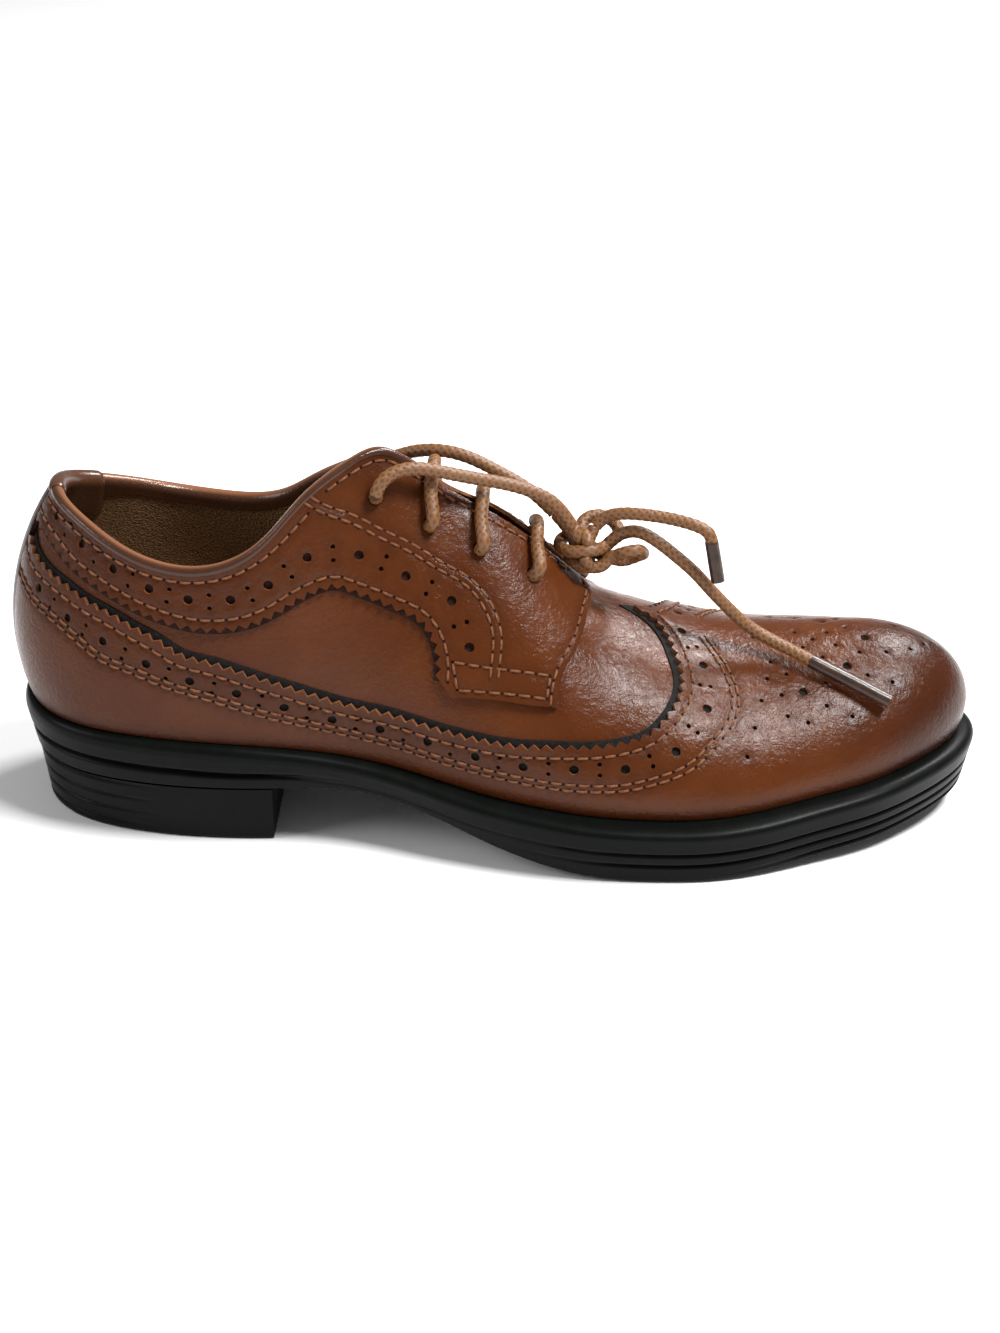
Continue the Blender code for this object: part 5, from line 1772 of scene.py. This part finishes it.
# %% [markdown]
# ## Insole sock
#
# Inside, a textile sock covers the insole board. It is a thin sheet with the outline of the feather
# edge, a little smaller than the wall around it. Rungs from side to side are enough: they follow the
# sole's rise at waist and heel, which a flat face could not.

# %% Insole
def make_insole():
    stations = np.linspace(0.0, TOE, 120)
    shares = np.linspace(0.0, 1.0, 24)
    inset = BASE_IN - 2.0 * CLEARANCE
    near, far = [points + away * inset for points, away, _ in feather_sides(stations)]
    table = near[:, None, :] + (far - near)[:, None, :] * shares[None, :, None]
    seat = level(table[:, :, 0])[..., 1]
    top = np.concatenate([table, (seat + CLEARANCE + INSOLE_THICKNESS)[..., None]], axis=2)
    low = np.concatenate([table, (seat + CLEARANCE)[..., None]], axis=2)
    faces = grid_faces(*table.shape[:2])
    points, solid, kinds = close(top.reshape(-1, 3), low.reshape(-1, 3), faces)
    return add_piece("insole_sock", points, solid, [LINING, DARK_EDGE_AND_SHADOW], ["insole"], kinds)


make_insole()
print("insole laid")

# %% [markdown]
# ## Lace
#
# The lace is a round braid. Its section is not a circle: each yarn makes a bump that winds round as
# the cord runs on, and yarns of the other hand cross it. Two waves that wind in opposite senses
# give that look, and their height is also stored as a number for the material: the grooves get
# painted shade and the crowns keep the lace's golden tone.

# %% Braided cord along a path
def frames_along(path):
    """Tangents and two side vectors that turn as little as they can."""
    ahead = np.gradient(path, axis=0)
    ahead /= np.linalg.norm(ahead, axis=1, keepdims=True)
    side = np.cross(ahead[0], (0.0, 0.0, 1.0))
    if np.linalg.norm(side) < 0.1:
        side = np.cross(ahead[0], (0.0, 1.0, 0.0))
    first = []
    for tangent in ahead:
        side = side - tangent * (side @ tangent)
        side = side / np.linalg.norm(side)
        first.append(side)
    first = np.array(first)
    return ahead, first, np.cross(ahead, first)


def tube_points(path, radius, turn, first, second):
    """Rings of points round a path, with a radius for each point."""
    circles = (np.cos(turn)[None, :, None] * first[:, None, :]
               + np.sin(turn)[None, :, None] * second[:, None, :])
    return path[:, None, :] + radius[:, :, None] * circles


BRAID_STEP = 0.00030
BRAID_SIDES = 28
BRAID_LAY = 0.0098       # length in which a yarn winds once round the lace
YARNS = 5.0


def braid(name, path, diameter, replaces=(), taper=(0.0, 0.0)):
    """Mesh of a braided cord. taper rounds an end off over a length."""
    path = np.asarray(path, float)
    length = along_of(path)[-1]
    count = max(8, int(length / BRAID_STEP))
    path = evenly(path, count)
    along = np.linspace(0.0, length, count)
    _, first, second = frames_along(path)
    turn = np.linspace(0.0, 2.0 * math.pi, BRAID_SIDES, endpoint=False)
    wind = 2.0 * math.pi / BRAID_LAY
    one = np.cos(YARNS * turn[None, :] + YARNS * wind * along[:, None])
    two = np.cos(YARNS * turn[None, :] - YARNS * wind * along[:, None])
    crown = np.maximum(one, two)
    radius = 0.5 * diameter * (0.950 + 0.060 * crown)
    for end, reach in ((along, taper[0]), (length - along, taper[1])):
        if reach:
            open_by = 1.0 - np.clip(end / reach, 0.02, 1.0)
            radius = radius * np.sqrt(np.clip(1.0 - open_by ** 2, 0.0, 1.0))[:, None]
    points = tube_points(path, radius, turn, first, second)
    faces = tube_faces(count, BRAID_SIDES)
    piece = add_piece(name, points.reshape(-1, 3), faces, [LACE], replaces, sharp=75.0)
    # The crown share sets painted shade: the grooves of the braid are painted dark, the crowns keep the
    # golden tone.
    paint(piece, "crown", np.clip(0.5 + 0.5 * crown, 0.0, 1.0).reshape(-1))
    return piece


print("one yarn of the braid winds round in", round(BRAID_LAY / MM, 1), "mm")

# %% Strands, loop and ends
NEAR_STRAND = ((-0.0319, -0.0168, 0.0934), (-0.0306, -0.0162, 0.0962), (-0.0278, -0.0147, 0.0984),
               (-0.0240, -0.0134, 0.0992), (-0.0200, -0.0122, 0.0988), (-0.0150, -0.0107, 0.0973),
               (-0.0075, -0.0082, 0.0948), (0.0000, -0.0062, 0.0926), (0.0065, -0.0050, 0.0902),
               (0.0118, -0.0041, 0.0870), (0.0155, -0.0034, 0.0825), (0.0171, -0.0032, 0.0799))
FAR_STRAND = ((-0.0315, 0.0138, 0.0898), (-0.0250, 0.0105, 0.0935), (-0.0175, 0.0075, 0.0955),
              (-0.0100, 0.0060, 0.0945), (-0.0020, 0.0050, 0.0910), (0.0060, 0.0040, 0.0865),
              (0.0125, 0.0025, 0.0810))
LOOP = ((0.0270, -0.0042, 0.0716), (0.0291, -0.0049, 0.0729), (0.0308, -0.0062, 0.0742),
        (0.0334, -0.0060, 0.0747), (0.0355, -0.0020, 0.0722), (0.0345, 0.0034, 0.0688),
        (0.0308, 0.0042, 0.0670), (0.0288, 0.0026, 0.0680), (0.0272, 0.0010, 0.0692),
        (0.0256, -0.0002, 0.0703))
SHORT_END = ((0.0232, 0.0000, 0.0786), (0.0246, 0.0003, 0.0801), (0.0290, -0.0010, 0.0826),
             (0.0355, -0.0030, 0.0834), (0.0410, -0.0042, 0.0832), (0.0455, -0.0056, 0.0828),
             (0.0492, -0.0069, 0.0821), (0.0512, -0.0075, 0.0811), (0.0522, -0.0079, 0.0797),
             (0.0526, -0.0082, 0.0778))
LONG_END = ((0.0262, -0.0012, 0.0738), (0.0284, -0.0010, 0.0760), (0.0336, -0.0020, 0.0782),
            (0.0385, -0.0036, 0.0766), (0.0437, -0.0048, 0.0730), (0.0490, -0.0058, 0.0686),
            (0.0530, -0.0060, 0.0642), (0.0575, -0.0060, 0.0594), (0.0640, -0.0062, 0.0535),
            (0.0715, -0.0080, 0.0498), (0.0790, -0.0118, 0.0475), (0.0812, -0.0127, 0.0467))
SHORT_AGLET = ((0.0524, -0.0080, 0.0788), (0.0546, -0.0095, 0.0682))
LONG_AGLET = ((0.0794, -0.0120, 0.0473), (0.0995, -0.0200, 0.0402))
KNOT_CENTRE = np.array((0.0211, -0.0025, 0.0728))


def cord_length(points):
    return round(float(along_of(evenly(points, 200))[-1]), 4)


near_strand = braid("braid_strand_near", NEAR_STRAND, LACE_DIAMETER, ["lace_strand_near"])
far_strand = braid("braid_strand_far", FAR_STRAND, LACE_DIAMETER, ["lace_strand_far"])
loop = braid("braid_loop", LOOP, LACE_DIAMETER * 0.98, ["lace_loop"])
short_end = braid("braid_end_short", SHORT_END, LACE_DIAMETER * 0.97, ["lace_end_short"])
long_end = braid("braid_end_long", LONG_END, LACE_DIAMETER * 0.97, ["lace_end_long"])
for name, route in (("near", NEAR_STRAND), ("far", FAR_STRAND), ("loop", LOOP), ("short", SHORT_END),
                    ("long", LONG_END)):
    print("lace", name, round(cord_length(route) / MM, 1), "mm")

# %% [markdown]
# ## Bars and knot
#
# Each bar crosses from eyelet to eyelet over the tongue. It dives into its blind eyelets, which are
# plain punched holes. The knot takes each strand, loop and end on from where it stops, in loose runs
# that cross in the middle.

# %% Lace bars
BAR_DIVE = 0.0018        # how deep a bar's ends go into their eyelets


def bar_route(number):
    station, height = EYELETS[number]
    clear = 0.5 * LACE_DIAMETER + 2.5 * CLEARANCE
    climb = (height, 0.5 * (height + 1.0), 0.985)
    posts = []
    for side, heights in ((-1, climb), (1, reverse(climb))):
        for spot in heights:
            s = float(round_at(station, side))
            rise = clear + float(flap_rise(station, side * (1.0 - spot)))
            posts.append(last_surface(s, spot) + surface_normal(s, spot) * rise)
    ends = [place(station, side * (1.0 - height)) for side in (-1, 1)]
    first, last = [last_surface(*end) + surface_normal(*end) * -BAR_DIVE for end in ends]
    return [first, *posts, last]


for number in range(1, len(EYELETS)):
    braid("braid_bar_%d" % number, bar_route(number), LACE_DIAMETER, ["lace_bar_%d" % number])
    print("bar", number, "made")


def dive_in(name, end, station, side):
    """Short piece of lace from a strand's end down into the first eyelet."""
    s, t = place(station, side * (1.0 - EYELETS[0][1]))
    foot = last_surface(s, t)
    normal = surface_normal(s, t)
    route = [foot - normal * 0.0016, foot + normal * 0.0004, 0.5 * (foot + end) + normal * 0.0004, end]
    return braid(name, route, LACE_DIAMETER * 0.98)


dive_in("braid_dive_near", np.array(NEAR_STRAND[0]), EYELETS[0][0], -1)
dive_in("braid_dive_far", np.array(FAR_STRAND[0]), EYELETS[0][0], 1)
print("both strands dive into the first eyelets")

# %% Knot
def turn_round(centre, axis, start, radius, sweep, slide):
    """Path of a turn of cord round an axis, which it slides along."""
    axis = np.array(axis)
    axis /= np.linalg.norm(axis)
    first = np.array(start)
    first = first - axis * (first @ axis)
    first /= np.linalg.norm(first)
    share = np.linspace(0.0, 1.0, 22)
    angle = np.linspace(0.0, math.radians(sweep), 22)
    return (np.asarray(centre) + radius * ring_of(angle, first, np.cross(axis, first))
            + axis * (slide * (share - 0.5))[:, None])


KNOT_RUNS = (
    (NEAR_STRAND[-1], (0.0184, -0.0034, 0.0775), (0.0198, -0.0030, 0.0750), (0.0216, -0.0008, 0.0728),
     (0.0236, 0.0022, 0.0716)),
    (FAR_STRAND[-1], (0.0150, 0.0018, 0.0785), (0.0170, 0.0006, 0.0758), (0.0186, -0.0016, 0.0733),
     (0.0204, -0.0030, 0.0712), (0.0232, -0.0036, 0.0699)),
    (LONG_END[1], LONG_END[0], (0.0240, -0.0045, 0.0742), (0.0208, -0.0062, 0.0744),
     (0.0174, -0.0056, 0.0738), (0.0148, -0.0030, 0.0735), (0.0142, 0.0005, 0.0737),
     (0.0160, 0.0030, 0.0743), (0.0190, 0.0036, 0.0748)),
    (SHORT_END[0], (0.0220, -0.0014, 0.0766), (0.0214, -0.0030, 0.0750), (0.0212, -0.0036, 0.0730)),
    ((0.0196, 0.0010, 0.0762), (0.0200, 0.0034, 0.0780), (0.0232, 0.0052, 0.0792),
     (0.0270, 0.0048, 0.0784), (0.0292, 0.0026, 0.0762), (0.0280, 0.0006, 0.0738)),
    (LOOP[1], LOOP[0], (0.0254, -0.0048, 0.0700), (0.0222, -0.0052, 0.0694), (0.0186, -0.0044, 0.0700),
     (0.0168, -0.0018, 0.0706), (0.0180, 0.0010, 0.0716)),
    (LOOP[-1], (0.0240, -0.0010, 0.0714), (0.0222, -0.0012, 0.0726)),
    turn_round(KNOT_CENTRE, (0.95, 0.10, 0.30), (0.0, -1.0, 0.2), 0.0042, 340, 0.0022),
)


def make_knot():
    points = []
    faces = []
    crowns = []
    count = 0
    for route in KNOT_RUNS:
        part = braid("run", route, LACE_DIAMETER * 0.98, taper=(0.0008, 0.0016))
        corners = np.empty(len(part.data.vertices) * 3)
        part.data.vertices.foreach_get("co", corners)
        values = np.empty(len(part.data.vertices))
        part.data.attributes["crown"].data.foreach_get("value", values)
        points.append(corners.reshape(-1, 3))
        crowns.append(values)
        faces += [tuple(corner + count for corner in face.vertices) for face in part.data.polygons]
        count += len(values)
        bpy.data.objects.remove(part, do_unlink=True)
    knot = add_piece("braid_knot", np.vstack(points), faces, [LACE], ["lace_knot"],
                     sharp=75.0)
    paint(knot, "crown", np.concatenate(crowns))


make_knot()
print("knot of", len(KNOT_RUNS), "runs")

# %% Aglets
def film_tube(name, start, end, replaces):
    """Shrunk film round the lace's tip, a little uneven, with a rounded mouth."""
    start = np.array(start)
    end = np.array(end)
    share = np.linspace(0.0, 1.0, 40)
    path = start + share[:, None] * (end - start)
    _, first, second = frames_along(path)
    sides = 24
    turn = np.linspace(0.0, 2.0 * math.pi, sides, endpoint=False)
    wobble = 1.0 + 0.015 * np.sin(9.0 * share)[:, None] * np.cos(2.0 * turn)[None, :]
    pinched = 0.05 * np.exp(-(share / 0.03) ** 2) + 0.02 * np.exp(-((1.0 - share) / 0.03) ** 2)
    radius = 0.5 * AGLET_DIAMETER * (wobble - pinched[:, None])
    shell = tube_points(path, radius, turn, first, second)
    mouth = []
    for depth, wide in ((0.0, 0.80), (0.02, 0.74), (0.05, 0.70), (0.05, 0.02)):
        centre = end - (end - start) * depth
        mouth.append(centre + 0.5 * AGLET_DIAMETER * wide * ring_of(turn, first[-1], second[-1]))
    table = np.concatenate([shell, np.array(mouth)])
    faces = tube_faces(len(table), sides)
    film_faces = (len(shell) + 1) * sides
    kinds = [0] * film_faces + [1] * (len(faces) - film_faces)
    return add_piece(name, table.reshape(-1, 3), faces, [FILM, PALE_EDGE], replaces, kinds)


aglet_short = film_tube("film_short", *SHORT_AGLET, ["aglet_short"])
aglet_long = film_tube("film_long", *LONG_AGLET, ["aglet_long"])
print("aglets on")

# %% [markdown]
# ## What hangs free
#
# Some of the lace is held by nothing but its own ends. For each such run the length and points
# along the line through its middle are worked out here, and nothing keeps them. Its mesh is
# already there.

# %% Free runs of lace
cord_length(NEAR_STRAND)
[tuple(p) for p in evenly(NEAR_STRAND, 24)]
cord_length(FAR_STRAND)
[tuple(p) for p in evenly(FAR_STRAND, 20)]
cord_length(LOOP)
[tuple(p) for p in evenly(LOOP, 16)]
cord_length(SHORT_END)
[tuple(p) for p in evenly(SHORT_END, 18)]
cord_length(LONG_END)
[tuple(p) for p in evenly(LONG_END, 30)]

# %% [markdown]
# ## Floor and light
#
# The shoe stands on a plain pale floor, as in a catalogue. The key light stands high behind the toe,
# a second one hangs above and a little in front of it, and a weaker one fills from the heel's side.
# The pale world keeps the shadows light.

# %% Floor
def add_floor():
    mesh = bpy.data.meshes.new("floor")
    far = 6.0
    corners = [(-far, -far, 0.0), (far, -far, 0.0), (far, far, 0.0), (-far, far, 0.0)]
    mesh.from_pydata(corners, [], [(0, 1, 2, 3)])
    material = bpy.data.materials.new("floor paper")
    material.use_nodes = True
    shader = material.node_tree.nodes["Principled BSDF"]
    shader.inputs["Base Color"].default_value = (0.96, 0.96, 0.96, 1.0)
    shader.inputs["Roughness"].default_value = 0.6
    mesh.materials.append(material)
    floor = bpy.data.objects.new("floor", mesh)
    bpy.context.scene.collection.objects.link(floor)
    floor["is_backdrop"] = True


def add_light(name, position, target, size, power):
    data = bpy.data.lights.new(name, "AREA")
    data.shape = "RECTANGLE"
    data.size = size
    data.size_y = size
    data.energy = power
    light = bpy.data.objects.new(name, data)
    light.location = position
    aim = Vector(target) - Vector(position)
    light.rotation_euler = aim.to_track_quat("-Z", "Y").to_euler()
    bpy.context.scene.collection.objects.link(light)
    light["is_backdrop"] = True


def add_world():
    world = bpy.data.worlds.new("studio")
    bpy.context.scene.world = world
    world.use_nodes = True
    back = world.node_tree.nodes["Background"]
    back.inputs["Color"].default_value = (1.0, 1.0, 1.0, 1.0)
    back.inputs["Strength"].default_value = 0.24
    bpy.context.scene.view_settings.view_transform = "Standard"


add_floor()
add_world()
add_light("key", (0.56, 0.66, 0.93), (0.02, 0.0, 0.04), 0.32, 15.5)
add_light("top", (0.52, -0.20, 1.10), (0.02, 0.0, 0.04), 0.32, 20.0)
add_light("side", (-1.10, -0.35, 0.70), (-0.05, 0.0, 0.04), 0.6, 6.0)
print("lights on")

# %% [markdown]
# ## The sizes, and finish
#
# The box of the dressed shoe should be close to the box of the plain solids. Both are printed.

# %% Sizes and finish
BUILT_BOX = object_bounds()
({"cad": [list(corner) if hasattr(corner, "__len__") else corner for corner in CAD_BOX],
           "scene": [list(corner) if hasattr(corner, "__len__") else corner for corner in BUILT_BOX]})
print("box of the dressed shoe:", BUILT_BOX)
